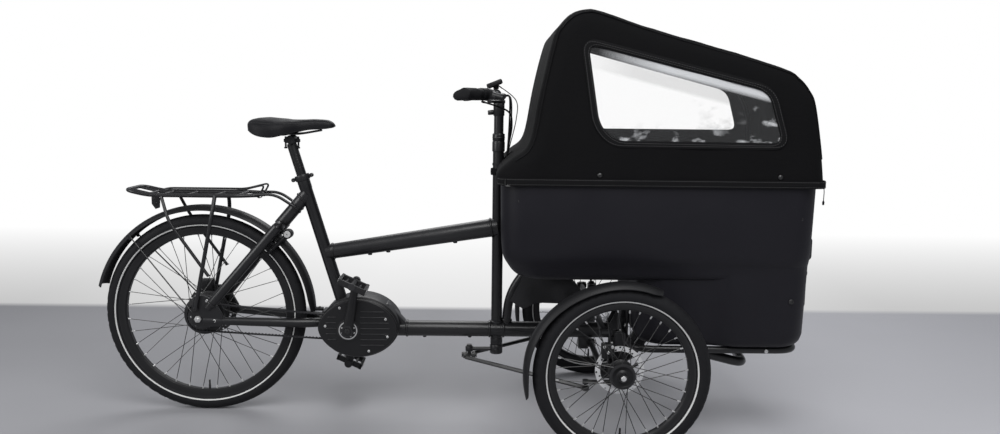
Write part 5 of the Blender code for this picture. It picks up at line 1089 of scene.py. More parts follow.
bm = bmesh.new()
slab_x(bm, rounded_rect(0.2135, 0.4135, 0.7705, 0.012), 1.888, 1.906, 0.004, segments=4)
slab_x(bm, rounded_rect(0.178, 0.448, 0.735, 0.02), 1.9055, 1.9085, 0.0015)
slab_x(bm, rounded_rect(0.16, 0.466, 0.717, 0.016), 1.8845, 1.8885, 0.0015)
for z in (0.472, 0.712):
    sweep(bm, [at(1.9078, 0.217, z - 0.02), at(1.9078, 0.217, z + 0.02)], 0.005, sides=18, mat=1)
    solid_box(bm, at(1.904, 0.19, z - 0.0165), at(1.9085, 0.2165, z + 0.0165), 0.001, mat=1)
    bolt(bm, at(1.9085, 0.198, z), (1, 0, 0), 0.0035, 0.0015, mat=1)
sweep(bm, rounded([at(1.906, -0.198, 0.56), at(1.918, -0.198, 0.566), at(1.918, -0.198, 0.624),
                   at(1.906, -0.198, 0.63)], 0.008), 0.0045, sides=14, mat=1)
button(bm, at(1.9058, -0.198, 0.52), (1, 0, 0), 0.009, 0.011, 0.004, 0.0015, 24, 1)
piece("door_panel", bm, [BOX_PLASTIC, DARK_STEEL], "front_door", ["front_door"])

bm = bmesh.new()
z, half, front_x, rear_x = 0.2832, 0.232, 1.884, 1.376
sweep(bm, rounded([at(rear_x, -0.011, z), at(rear_x, -half, z), at(front_x, -half, z),
                   at(front_x, half, z), at(rear_x, half, z), at(rear_x, 0.011, z)], 0.07, 12),
      0.011, sides=24)
sweep(bm, [at(1.545, -half, z), at(1.545, half, z)], 0.01, sides=20)
solid_box(bm, at(1.3523, -0.03, z - 0.0255), at(1.38, 0.03, z + 0.01), 0.003)
for y in (-0.02, 0.02):
    bolt(bm, at(1.3535, y, z - 0.012), (-1, 0, 0), 0.0045, 0.001, mat=1)
sweep(bm, rounded([at(1.545, -0.202, 0.2777), at(1.728, -0.202, 0.232), at(1.752, 0, 0.226),
                   at(1.728, 0.202, 0.232), at(1.545, 0.202, 0.2777)], 0.045, 12), 0.0145, sides=28)
for side in (-1, 1):
    bolt(bm, at(1.784, side * 0.243, 0.2821), (0, side, 0), 0.006, 0.003, mat=1)
    weld(bm, at(1.545, side * (half - 0.013), z), (0, 1, 0), 0.0102, 0.0025)
piece("floor_tubes", bm, [PAINT, STEEL], "frame", ["floor_frame"])

bm = bmesh.new()
solid_box(bm, at(1.085, -0.19, 0.508), at(1.33, 0.19, 0.608), 0.01, 4)
for k in range(7):
    y = -0.15 + 0.05 * k
    solid_box(bm, at(1.3285, y - 0.014, 0.53), at(1.3325, y + 0.014, 0.584), 0.0015)
piece("battery_case", bm, [PLASTIC], "frame", ["battery_pack"])


# Bench cushion, swelled as cloth over its foam

def cloth_swell(made, pressure, cap):
    """A short cloth run with inner pressure; no point moves further than cap."""
    rest = [v.co.copy() for v in made.data.vertices]
    cloth = made.modifiers.new("swell", "CLOTH")
    cloth.settings.use_pressure = True
    cloth.settings.uniform_pressure_force = pressure
    cloth.settings.effector_weights.gravity = 0.0
    cloth.settings.quality = 4
    cloth.point_cache.frame_start = 1
    cloth.point_cache.frame_end = 20
    for step in range(1, 21):
        SCENE.frame_set(step)
    result = mesh_of(made)
    made.modifiers.clear()
    SCENE.frame_set(1)
    for vert, home in zip(result.vertices, rest):
        move = vert.co - home
        if move.length > cap:
            vert.co = home + move.normalized() * cap
    made.data = result


def remeshed(made, voxel):
    modifier = made.modifiers.new("voxels", "REMESH")
    modifier.mode = "VOXEL"
    modifier.voxel_size = voxel
    made.data = mesh_of(made)
    made.modifiers.clear()


def bench():
    """Two sewn pads side by side: drawn-in sides, crowned tops, flat on the battery."""
    bm = bmesh.new()
    rows, columns = 14, 22
    low, high = vec(1.024, -0.261, 0.609), vec(1.356, 0.261, 0.669)
    grid = {}
    for top in (0, 1):
        for i in range(rows + 1):
            for j in range(columns + 1):
                u, v = i / rows, j / columns
                pull = 0.006 * (sin(pi * v) ** 2), 0.006 * (sin(pi * u) ** 2)
                x = low.x + (high.x - low.x) * u + pull[0] * (1 - 2 * u)
                y = low.y + (high.y - low.y) * v + pull[1] * (1 - 2 * v)
                crown = (sin(pi * u) * sin(pi * v)) ** 0.5
                channel = 0.01 * exp(-((v - 0.5) / 0.035) ** 2)
                z = high.z - 0.012 + 0.012 * crown - channel if top else low.z
                grid[top, i, j] = bm.verts.new(at(x, y, z))
    for top in (0, 1):
        for i in range(rows):
            for j in range(columns):
                bm.faces.new((grid[top, i, j], grid[top, i + 1, j], grid[top, i + 1, j + 1],
                              grid[top, i, j + 1]))
    border = [(i, 0) for i in range(rows)] + [(rows, j) for j in range(columns)]
    border += [(i, columns) for i in range(rows, 0, -1)] + [(0, j) for j in range(columns, 0, -1)]
    for (i, j), (k, m) in zip(border, border[1:] + border[:1]):
        bm.faces.new((grid[0, i, j], grid[0, k, m], grid[1, k, m], grid[1, i, j]))
    pad = loose(bm, "pad")
    remeshed(pad, 0.006)
    cloth_swell(pad, 4.0, 0.006)
    floor_z = 0.6082
    for vert in pad.data.vertices:
        vert.co.z = max(vert.co.z, floor_z)
    smooth = pad.modifiers.new("smooth", "SUBSURF")
    smooth.levels = 1
    mesh = mesh_of(pad)
    drop(pad)
    made = dress("bench_cushion", mesh, [SEAT_CLOTH], "frame", ["bench_seat"], sharp=60)
    bm = bmesh.new()
    ring = rounded_rect(0.259, 1.027, 1.353, 0.03, 8)
    sweep(bm, [at(x, y, 0.6555) for y, x in ring], 0.0028, sides=8, closed=True)
    piece("bench_piping", bm, [BINDING], "frame")


bench()


# Hood: one fabric skin over its hoops, with taped windows and a stitched hem

HEM_Z = 0.79
HOOD_W = 0.3215
EDGE_R = 0.045
HOOD_SIDE = [(0.955, 0.79), (0.957, 0.828), (1.0, 0.87), (1.046, 0.915), (1.076, 1.065),
             (1.11, 1.216), (1.13, 1.254), (1.164, 1.287), (1.205, 1.3), (1.252, 1.295),
             (1.425, 1.24), (1.77, 1.144), (1.831, 1.113), (1.864, 1.076), (1.883, 1.031),
             (1.903, 0.902), (1.915, 0.79)]
WINDOWS = {-1: [(1.202, 1.206), (1.738, 1.074), (1.784, 0.912), (1.288, 0.915), (1.24, 0.965)],
           1: [(1.202, 1.234), (1.78, 1.086), (1.826, 0.932), (1.288, 0.932), (1.24, 0.982)]}


def hood_half_w(z):
    return HOOD_W - (HOOD_W - 0.275) * (z - HEM_Z) / (1.3 - HEM_Z)


def hood_profile(inset):
    """The side view, drawn in square to itself by inset."""
    line = curve_through([(x, 0, z) for x, z in HOOD_SIDE], 5)
    made = []
    for k, spot in enumerate(line):
        along = (line[min(k + 1, len(line) - 1)] - line[max(k - 1, 0)]).normalized()
        inward = vec(along.z, 0, -along.x)
        place = spot + inward * inset
        made.append(vec(place.x, 0, max(HEM_Z, place.z)))
    return made


def hood_solid():
    bm = bmesh.new()
    stations = [(k / 8 * (HOOD_W - EDGE_R), 0.0) for k in range(9)]
    stations += [(HOOD_W - EDGE_R + EDGE_R * sin(a), EDGE_R * (1 - cos(a)))
                 for a in (pi / 2 * k / 6 for k in range(1, 7))]
    stations = [(-y, inset) for y, inset in reversed(stations[1:])] + stations
    rows = []
    for y, inset in stations:
        rows.append([bm.verts.new(at(p.x, y * hood_half_w(p.z) / HOOD_W, p.z))
                     for p in hood_profile(inset)])
    for low, high in zip(rows, rows[1:]):
        for k in range(len(low) - 1):
            bm.faces.new((low[k], low[k + 1], high[k + 1], high[k]))
        bm.faces.new((low[0], high[0], high[-1], low[-1]))
    bm.faces.new(list(reversed(rows[0])))
    bm.faces.new(rows[-1])
    bmesh.ops.triangulate(bm, faces=[f for f in bm.faces if len(f.verts) > 4])
    return loose(bm, "hood_block")


def inside(x, z, outline):
    hit = False
    for (x0, z0), (x1, z1) in zip(outline, outline[1:] + outline[:1]):
        if (z0 > z) != (z1 > z) and x < x0 + (z - z0) * (x1 - x0) / (z1 - z0):
            hit = not hit
    return hit


def window_line(side, grow=0.0):
    """One side's rounded window outline as (x, z) points, grown outward."""
    corners = [vec(x, 0, z) for x, z in WINDOWS[side]]
    middle = sum(corners, Vector()) / len(corners)
    corners = [c + (c - middle).normalized() * grow for c in corners]
    start = (corners[0] + corners[1]) / 2
    path = rounded([start] + corners[1:] + [corners[0], start], 0.045, 7)
    return [(p.x, p.z) for p in path[:-1]]


def folds(place):
    broad = noise.noise(vec(place.x * 6, place.y * 6, place.z * 3.5))
    fine = noise.noise(vec(place.x * 19 + 5, place.y * 19, place.z * 8))
    hem = max(0.0, 1 - (place.z - HEM_Z) / 0.1)
    return 0.003 * broad + 0.0013 * fine + 0.0016 * hem * sin(place.x * 31 + place.y * 17)


def cut(bm, place, way, **options):
    bmesh.ops.bisect_plane(bm, geom=bm.verts[:] + bm.edges[:] + bm.faces[:], plane_co=place,
                           plane_no=way, **options)


def build_hood():
    block = hood_solid()
    remeshed(block, 0.0095)
    smooth = block.modifiers.new("smooth", "SMOOTH")
    smooth.iterations = 4
    mesh = mesh_of(block)
    drop(block)
    bm = bmesh.new()
    bm.from_mesh(mesh)
    bm.normal_update()
    moves = {v: v.normal * folds(v.co) for v in bm.verts}
    for vert, move in moves.items():
        vert.co += move
    cut(bm, (0, 0, HEM_Z + 0.004), (0, 0, 1), clear_inner=True)
    outlines = {side: window_line(side) for side in (-1, 1)}
    gone = []
    for face in bm.faces:
        middle = face.calc_center_median()
        x = middle.x - REAR_AXLE_X
        by_column = (x - HEAD_X) ** 2 + middle.y ** 2 < 0.046 ** 2 and middle.z < 0.885
        outline = outlines[1 if middle.y > 0 else -1]
        by_window = abs(face.normal.y) > 0.6 and inside(x, middle.z, outline)
        if by_column or by_window:
            gone.append(face)
    bmesh.ops.delete(bm, geom=gone, context="FACES")
    area = sum(f.calc_area() for f in bm.faces)
    bmesh.ops.recalc_face_normals(bm, faces=bm.faces[:])
    bmesh.ops.solidify(bm, geom=bm.faces[:], thickness=0.0022)
    made = piece("hood_skin", bm, [FABRIC], "frame", ["hood_fabric"], sharp=60)
    return made, area


def stitches(bm, line, step=0.0075, length=0.0042, r=0.00065, mat=0):
    """A row of short threads along a line."""
    walk, place = 0.0, 0.0
    for a, b in zip(line, line[1:]):
        span = (b - a).length
        along = (b - a).normalized() if span else vec(1, 0, 0)
        while place < walk + span:
            start = a + along * (place - walk)
            sweep(bm, [start, start + along * length], r, sides=5, mat=mat)
            place += step
        walk += span


def side_point(x, z, side, lift=0.0):
    return at(x, side * (hood_half_w(z) + lift), z)


hood, hood_area = build_hood()
for side, word in SIDE_NAMES.items():
    bm = bmesh.new()
    line = [side_point(x, z, side, 0.0012) for x, z in window_line(side, 0.004)]
    sweep(bm, line, 0.0105, sides=10, closed=True, flat=0.2, up=(0, side, 0))
    for grow in (-0.003, 0.011):
        row = [side_point(x, z, side, 0.0034) for x, z in window_line(side, grow)]
        stitches(bm, row + row[:1], mat=1)
    piece(f"window_tape_{word}", bm, [BINDING, THREAD], "frame")

    bm = bmesh.new()
    bm.faces.new([bm.verts.new(at(x, 0, z)) for x, z in window_line(side, 0.006)])
    for k in range(1, 52):
        cut(bm, at(1.195 + 0.0125 * k, 0, 1), (1, 0, 0))
    for k in range(1, 28):
        cut(bm, at(1.2, 0, 0.905 + 0.0125 * k), (0, 0, 1))
    for vert in bm.verts:
        x, z = vert.co.x - REAR_AXLE_X, vert.co.z
        near_front = max(0.0, (x - 1.62) / 0.16)
        near_foot = max(0.0, 1 - (z - 0.912) / 0.05)
        ripple = 0.0022 * noise.noise(vec(x * 9, side * 2.0, z * 5))
        ripple += near_front * 0.003 * noise.noise(vec(x * 38, side, z * 9))
        ripple += near_foot * 0.0022 * noise.noise(vec(x * 24, side, z * 12))
        vert.co.y = side * (hood_half_w(z) - 0.0015 + ripple)
    film_area = sum(f.calc_area() for f in bm.faces)
    bmesh.ops.recalc_face_normals(bm, faces=bm.faces[:])
    bmesh.ops.solidify(bm, geom=bm.faces[:], thickness=0.0006)
    film = piece(f"window_film_{word}", bm, [FILM], "frame", [f"hood_window_{word}"], sharp=80)

left_half = [(0.9545, 0.052), (0.9545, HOOD_W + 0.001), (1.9155, HOOD_W + 0.001), (1.9155, 0.0)]
right_half = [(x, -y) for x, y in reversed(left_half[:-1])]
hem_path = rounded([at(x, y, 0.8015) for x, y in left_half + right_half], 0.047, 9)
bm = bmesh.new()
sweep(bm, hem_path, 0.0115, sides=10, flat=1.0, up=(0, 0, 1), mat=0)
for vert in bm.verts:
    spot = min(hem_path, key=lambda p: (p - vert.co).length_squared)
    vert.co.xy = spot.xy + (vert.co.xy - spot.xy) * 0.14
for level in (0.809, 0.7945):
    row = []
    for p in hem_path:
        out = vec(p.x - REAR_AXLE_X - 1.435, p.y * 1.4, 0).normalized()
        row.append(vec(p.x + out.x * 0.0016, p.y + out.y * 0.0016, level))
    stitches(bm, row, mat=1)
piece("hood_hem", bm, [BINDING, THREAD], "frame")

bm = bmesh.new()
for side in (-1, 1):
    for x, z in ((1.2488, 0.8235), (1.772, 0.8235)):
        base = side_point(x, z, side, 0.0022)
        lathe(bm, [(0.0, 0.0034), (0.0034, 0.003), (0.0058, 0.0018), (0.007, 0.0004),
                   (0.007, -0.003), (0.0, -0.003)], base, (0, side, 0), steps=24)
piece("hem_studs", bm, [DARK_STEEL], "frame")

bm = bmesh.new()
for side in (-1, 1):
    ridge = [at(p.x, side * (HOOD_W - EDGE_R + 0.032) * hood_half_w(p.z) / HOOD_W, p.z)
             for p in hood_profile(0.0112) if p.z > 0.86]
    sweep(bm, ridge, 0.0022, sides=8)
    tab = at(0.985, side * 0.3205, 0.796)
    sweep(bm, rounded([tab + vec(-0.009, 0, 0.01), tab + vec(-0.009, 0, -0.006),
                       tab + vec(0.009, 0, -0.006), tab + vec(0.009, 0, 0.01)], 0.004), 0.0016,
          sides=8, mat=1)
strap = [at(HEAD_X + 0.0235 * cos(a), 0.0235 * sin(a), 0.806)
         for a in (radians(40 + 280 * k / 28) for k in range(29))]
strap = [at(1.0, 0.05, 0.806)] + strap + [at(1.0, -0.05, 0.806)]
band = sweep(bm, strap, 0.0115, sides=10, up=(0, 0, 1))
for ring, spot in zip(band, strap):
    for vert in ring:
        vert.co.xy = spot.xy + (vert.co.xy - spot.xy) * 0.16
piece("hood_straps", bm, [BINDING, DARK_STEEL], "frame")

bm = bmesh.new()
tie = [at(1.899, -0.3175, 0.798), at(1.9005, -0.3195, 0.785), at(1.901, -0.3185, 0.77),
       at(1.901, -0.3175, 0.756)]
sweep(bm, curve_through(tie, 4), 0.0013, sides=8)
sweep(bm, [at(1.901, -0.3175, 0.757), at(1.901, -0.3175, 0.752), at(1.901, -0.3175, 0.744)],
      [0.0018, 0.0034, 0.0026], sides=12)
piece("hem_toggle", bm, [GRIP_RUBBER], "frame")


# Saddle, its rails and post

SADDLE_TAIL_X, SADDLE_LENGTH = 0.158, 0.273
SADDLE_LINES = [(0.0, 0.03, 0.957, 0.944), (0.01, 0.058, 0.965, 0.932), (0.026, 0.074, 0.97, 0.922),
                (0.05, 0.084, 0.973, 0.914), (0.085, 0.086, 0.972, 0.911),
                (0.115, 0.078, 0.969, 0.917), (0.14, 0.062, 0.967, 0.924),
                (0.165, 0.044, 0.967, 0.93), (0.195, 0.033, 0.969, 0.935),
                (0.225, 0.028, 0.969, 0.937), (0.25, 0.025, 0.966, 0.939),
                (0.265, 0.02, 0.96, 0.942), (0.273, 0.01, 0.951, 0.945)]
SADDLE_FLOOR_Z = 0.938


def saddle_ring(x, half, top, low):
    """One closed section: a crowned top, skirts down the sides and a hollow underside."""
    ring = []
    for k in range(25):
        a = pi * k / 24
        ring.append(at(x, half * copysign(abs(cos(a)) ** 0.75, cos(a)),
                       low + (top - low) * sin(a) ** 0.55))
    roof = max(low, min(SADDLE_FLOOR_Z, top - 0.012))
    for k in range(1, 12):
        y = -half * 0.93 * cos(pi * k / 12)
        ring.append(at(x, y, low + (roof - low) * min(1.0, 2.2 * sin(pi * k / 12))))
    return ring


def build_saddle():
    rows = curve_through([(x, half, 0) for x, half, _, _ in SADDLE_LINES], 4)
    levels = curve_through([(top, low, 0) for _, _, top, low in SADDLE_LINES], 4)
    bm = bmesh.new()
    rings = [[bm.verts.new(p) for p in saddle_ring(SADDLE_TAIL_X + r.x, r.y, l.x, l.y)]
             for r, l in zip(rows, levels)]
    skin(bm, rings)
    bmesh.ops.recalc_face_normals(bm, faces=bm.faces[:])
    bm.normal_update()
    for vert in bm.verts:
        share = (vert.co.x - REAR_AXLE_X - SADDLE_TAIL_X) / SADDLE_LENGTH
        if vert.co.z > 0.95:
            dip = 0.0042 * exp(-(vert.co.y / 0.01) ** 2) * sin(pi * min(1.0, share * 1.1)) ** 0.5
            crease = 0.0008 * noise.noise(vert.co * 42)
            vert.co.z -= dip - crease
    return piece("saddle_cover", bm, [VINYL], "seat", ["saddle"], sharp=50)


cover = build_saddle()
bm = bmesh.new()
for side in (-1, 1):
    edge = [at(SADDLE_TAIL_X + x, side * half * 0.99, low + 0.001)
            for x, half, _, low in SADDLE_LINES[1:-1]]
    sweep(bm, curve_through(edge, 4), 0.0019, sides=8)
    seam = [at(SADDLE_TAIL_X + x, side * half * 0.9, low + (top - low) * 0.7)
            for x, half, top, low in SADDLE_LINES[1:-1]]
    stitches(bm, curve_through(seam, 6), step=0.006, length=0.0035, r=0.0006, mat=1)
piece("saddle_piping", bm, [VINYL, THREAD], "seat")

RAIL_Z, RAIL_R = 0.9208, 0.0035
bm = bmesh.new()
for side in (-1, 1):
    rail = [at(0.213, side * 0.04, RAIL_Z + 0.012), at(0.243, side * 0.021, RAIL_Z),
            at(0.321, side * 0.021, RAIL_Z), at(0.386, side * 0.009, RAIL_Z + 0.012)]
    sweep(bm, rounded(rail, 0.02), RAIL_R, sides=14)
for x, half in ((0.385, 0.01), (0.214, 0.041)):
    sweep(bm, [at(x, -half, RAIL_Z + 0.0118), at(x, half, RAIL_Z + 0.0118)], RAIL_R, sides=14)
piece("seat_rails", bm, [DARK_STEEL], "seat", ["saddle_rails"])

bm = bmesh.new()
sweep(bm, [seat_line(z) for z in (0.635, 0.76, 0.884, 0.89)], [0.0158, 0.0158, 0.0158, 0.015],
      sides=40)
head = seat_line(0.89) + vec(0.002, 0, 0.012)
collar(bm, head, (0, 1, 0), 0.0, 0.0125, 0.0148, -0.026, 0.026, 0.0025)
for lean in (-1, 1):
    stalk = head + vec(lean * 0.0205, 0, -0.004)
    sweep(bm, [stalk + vec(0, 0, -0.02), stalk + vec(0, 0, 0.014)], 0.0032, sides=12, mat=1)
    bolt(bm, stalk + vec(0, 0, -0.02), (0, 0, -1), 0.0052, 0.005, mat=1)
    solid_box(bm, head + vec(min(0, lean * 0.026), -0.007, -0.009),
              head + vec(max(0, lean * 0.026), 0.007, 0.003), 0.003)
for k in range(6):
    lathe(bm, [(0.0157, -0.0006), (0.01605, 0.0), (0.0157, 0.0006)], seat_line(0.812 + 0.008 * k),
          (-SEAT_LEAN, 0, 1), steps=40, mat=1)
piece("post_and_head", bm, [ALLOY, DARK_STEEL], "seat", ["seat_post"])

bm = bmesh.new()
low, high = seat_line(0.7703), seat_line(0.788)
axis = (high - low).normalized()
middle = (low + high) / 2
half = (high - low).length / 2
collar(bm, middle, axis, 0.0162, 0.0228, 0.0238, -half, half, 0.002, 44)
across = vec(axis.z, 0, -axis.x)
for side in (-1, 1):
    eye = middle + across * side * 0.03
    sweep(bm, [middle + across * side * 0.022, eye], 0.0052, sides=14)
    collar(bm, eye, (0, 1, 0), 0.0032, 0.0058, 0.0066, -0.008, 0.008, 0.0012, 24)
    bolt(bm, middle + across * side * 0.0236 + vec(0, -0.004, 0), across * side, 0.003, 0.0022,
         mat=1)
piece("post_clamp", bm, [ALLOY, DARK_STEEL], "frame", ["seat_clamp"])


# Rear carrier, its sprung clip and the ring lock

ROD = 0.006
DECK_Z = 0.724
DECK_W = 0.07
DECK_FRONT, DECK_REAR = 0.19, -0.222
STAY_TUBE_R = 0.0215
STAY_GRIP = seat_line(0.728).lerp(STAY_YOKE, 0.4)


def build_carrier():
    bm = bmesh.new()
    half = [(DECK_FRONT, 0.6 * DECK_W, DECK_Z), (0.13, DECK_W, DECK_Z), (-0.15, DECK_W, DECK_Z),
            (DECK_REAR, DECK_W, DECK_Z + 0.016)]
    rail = [at(x, -y, z) for x, y, z in half] + [at(x, y, z) for x, y, z in reversed(half)]
    sweep(bm, rounded(rail, 0.03, 10), ROD, sides=18)
    for x in (-0.11, -0.03, 0.06, 0.13):
        sweep(bm, [at(x, -DECK_W, DECK_Z), at(x, DECK_W, DECK_Z)], ROD * 0.8, sides=14)
        for side in (-1, 1):
            weld(bm, at(x, side * (DECK_W - 0.006), DECK_Z), (0, 1, 0), ROD * 0.8, 0.0014, steps=20)
    sweep(bm, [at(DECK_FRONT, -DECK_W * 0.62, DECK_Z), at(DECK_FRONT, DECK_W * 0.62, DECK_Z)], ROD,
          sides=18)
    for side in (-1, 1):
        leg = side * (DROPOUT_FACE_Y + 0.006)
        sweep(bm, rounded([at(0.06, side * DECK_W, DECK_Z), at(0.056, leg, DECK_Z - 0.06),
                           at(-0.006, leg, 0.362)], 0.03), ROD * 1.05, sides=16)
        sweep(bm, rounded([at(-0.11, side * DECK_W, DECK_Z), at(-0.08, leg, DECK_Z - 0.08),
                           at(0.04, leg + side * 0.001, 0.47)], 0.03), ROD * 0.85, sides=14)
        weld(bm, at(0.041, leg, 0.4705), (0.45, 0, -1), ROD * 0.85, 0.0012, steps=18)
        collar(bm, at(-0.006, side * DROPOUT_FACE_Y, 0.362), (0, side, 0), 0.003, 0.0072, 0.008,
               0.0, 0.008, 0.0008, 26)
        bolt(bm, at(-0.006, side * (DROPOUT_FACE_Y + 0.008), 0.362), (0, side, 0), 0.0052, 0.0034,
             mat=1)
        grip = STAY_GRIP + vec(0, side * (STAY_TUBE_R + 0.0053), 0)
        sweep(bm, rounded([at(DECK_FRONT - 0.05, side * DECK_W * 0.8, DECK_Z),
                           at(0.24, side * 0.034, DECK_Z + 0.004), grip], 0.03), ROD * 0.8,
              sides=14)
        bolt(bm, grip + vec(0, side * 0.004, 0), (0, side, 0), 0.0046, 0.003, mat=1)
    for side in (-1, 1):
        line = rounded([at(-0.15, side * 0.034, DECK_Z), at(-0.205, side * 0.034, DECK_Z + 0.012),
                        at(DECK_REAR, side * 0.034, DECK_Z + 0.016)], 0.02)
        sweep(bm, [at(0.13, side * 0.034, DECK_Z), at(-0.11, side * 0.034, DECK_Z)] + line,
              ROD * 0.7, sides=12)
    sweep(bm, [at(-0.158, -0.034, DECK_Z + 0.002), at(-0.158, 0.034, DECK_Z + 0.002)], ROD * 0.7,
          sides=12)
    plate = [(-0.168, 0.726), (-0.15, 0.726), (-0.14, 0.704), (-0.142, 0.676), (-0.156, 0.671),
             (-0.168, 0.688)]
    slab(bm, plate, -0.0015, 0.0015, bevel=0.0006)
    bolt(bm, at(-0.1535, -0.0015, 0.69), (0, -1, 0), 0.0042, 0.003, mat=1)
    piece("luggage_carrier", bm, [PAINT, DARK_STEEL], "frame", ["rear_carrier"])


build_carrier()

bm = bmesh.new()
lift = DECK_Z + ROD * 2 + 0.002
side_of_bail = [(DECK_FRONT, DECK_Z + 0.0005), (DECK_FRONT + 0.02, DECK_Z + 0.034), (0.13, lift),
                (-0.12, lift)]
bail = [at(x, -0.03, z) for x, z in side_of_bail]
bail += [at(x, 0.03, z) for x, z in reversed(side_of_bail)]
sweep(bm, rounded(bail, 0.02), 0.003, sides=14)
for side in (-1, 1):
    coil = [at(DECK_FRONT + 0.0092 * cos(a), side * (0.0235 + 0.0011 * a / pi),
               DECK_Z + 0.0092 * sin(a)) for a in (2 * pi * k / 24 for k in range(97))]
    sweep(bm, coil, 0.0014, sides=8, mat=1)
piece("sprung_clip", bm, [PAINT, DARK_STEEL], "carrier_clip", ["carrier_clip"])

LOCK_ANGLE = radians(44)
LOCK_OUT = vec(cos(LOCK_ANGLE), 0, sin(LOCK_ANGLE))
LOCK_UP = vec(-sin(LOCK_ANGLE), 0, cos(LOCK_ANGLE))
LOCK_ARM_Y = 0.0405


def lock_point(reach, y):
    return at(0, y, REAR_R) + LOCK_OUT * reach


bm = bmesh.new()
shoe = [lock_point(0.296, -LOCK_ARM_Y), lock_point(0.376, -LOCK_ARM_Y),
        lock_point(0.376, LOCK_ARM_Y), lock_point(0.296, LOCK_ARM_Y)]
sweep(bm, rounded(shoe, 0.02, 10), 0.006, sides=18)
arch = rounded([lock_point(0.322, -LOCK_ARM_Y), lock_point(0.377, -LOCK_ARM_Y),
                lock_point(0.377, LOCK_ARM_Y), lock_point(0.322, LOCK_ARM_Y)], 0.022, 10)
sweep(bm, arch, 0.0098, sides=16, flat=0.75, up=LOCK_UP)
cylinder_mid = lock_point(0.39, -0.031)
lathe(bm, [(0.0, -0.016), (0.0125, -0.016), (0.015, -0.0135), (0.015, 0.013), (0.0125, 0.015),
           (0.0, 0.015)], cylinder_mid, (0, 1, 0), steps=36)
lathe(bm, [(0.0018, -0.0195), (0.0098, -0.0195), (0.0114, -0.0178), (0.0114, -0.015),
           (0.0018, -0.015)], cylinder_mid, (0, 1, 0), steps=30, closed=True, mat=1)
lathe(bm, [(0.0, -0.019), (0.003, -0.019), (0.003, -0.016), (0.0, -0.016)], cylinder_mid, (0, 1, 0),
      steps=16, mat=2)
for side in (-1, 1):
    start = lock_point(0.335, side * LOCK_ARM_Y)
    top, foot = stay_ends(side)
    stay = (top - foot).normalized()
    near = foot + stay * (start - foot).dot(stay)
    reach = (near - start).length - 0.0168
    sweep(bm, [start, start + (near - start).normalized() * reach], 0.0045, sides=14)
    bolt(bm, start + vec(0, side * 0.006, 0) - LOCK_OUT * 0.02, (0, side, 0), 0.004, 0.0024, mat=2)
piece("wheel_lock", bm, [PLASTIC, GREY_PLASTIC, DARK_STEEL], "frame", ["ring_lock"])


# Handlebar, stem, grips, levers, display and cables

BAR_X, BAR_Z = 0.948, 1.052
BAR_R = 0.0125
LEVER_INWARD = 0.172


def bar_end(side):
    return at(BAR_X - 0.09, side * 0.33, BAR_Z)


def bar_axis(side):
    """From the bar's end inward to its bend."""
    return (at(BAR_X, side * 0.1, BAR_Z) - bar_end(side)).normalized()


def bar_point(side, inward):
    return bar_end(side) + bar_axis(side) * inward


def lever_pivot(side):
    return bar_point(side, LEVER_INWARD) + vec(0.046, 0, -0.01)


bm = bmesh.new()
sweep(bm, rounded([bar_end(-1), at(BAR_X, -0.1, BAR_Z), at(BAR_X, 0.1, BAR_Z), bar_end(1)], 0.045,
                  12), BAR_R, sides=32)
for side in (-1, 1):
    pivot = lever_pivot(side)
    place = bar_point(side, LEVER_INWARD)
    collar(bm, place, bar_axis(side), 0.0126, 0.0178, 0.019, -0.009, 0.009, 0.0015, mat=1)
    sweep(bm, [place, place.lerp(pivot, 0.55), pivot], [0.0125, 0.0115, 0.0095], sides=18, mat=1)
    inner = pivot + vec(-0.004, -side * 0.002, 0.001)
    sweep(bm, [inner + vec(0.001, side * 0.006, 0), inner + vec(0.006, -side * 0.012, 0.004),
               inner + vec(0.012, -side * 0.022, 0.006)], [0.0112, 0.0105, 0.0066], sides=18, mat=1)
    tank = place + vec(0.02, 0, -0.013)
    sweep(bm, [tank + bar_axis(side) * along for along in (-0.017, -0.014, 0.014, 0.017)],
          [0.008, 0.0105, 0.0105, 0.008], sides=18, mat=1)
    sweep(bm, [pivot + vec(0, 0, 0.006), pivot + vec(0, 0, -0.019)], 0.0042, sides=16, mat=2)
    bolt(bm, pivot + vec(0, 0, 0.006), (0, 0, 1), 0.006, 0.0025, mat=2)
    bolt(bm, place + vec(-0.019, 0, 0.004), (-1, 0, 0.2), 0.0042, 0.003, mat=2)
piece("handlebar_tube", bm, [PAINT, ALLOY, DARK_STEEL], "steering", ["handlebar"])

bm = bmesh.new()
lathe(bm, [(0.0, 0.0), (0.0165, 0.0), (0.018, 0.002), (0.018, 0.046), (0.0155, 0.051),
           (0.0, 0.051)], at(HEAD_X, 0, 0.9853), (0, 0, 1), steps=40)
sweep(bm, [at(HEAD_X, 0, 1.022), at(BAR_X, 0, BAR_Z)], 0.015, sides=24)
collar(bm, at(BAR_X, 0, BAR_Z), (0, 1, 0), 0.0126, 0.0178, 0.019, -0.024, 0.024, 0.002, 40)
knob = [(0.0, 0.0), (0.0055, 0.0), (0.0055, 0.016), (0.007, 0.018), (0.008, 0.02), (0.008, 0.033),
        (0.0066, 0.036), (0.0, 0.036)]
lathe(bm, knob, at(HEAD_X, 0, 0.999), (-1, 0, -0.1), steps=28, mat=1)
for y in (-0.016, 0.016):
    bolt(bm, at(BAR_X - 0.013, y, BAR_Z + 0.0135), (-0.7, 0, 0.7), 0.004, 0.003, mat=1)
piece("bar_stem", bm, [ALLOY, DARK_STEEL], "steering", ["stem"])

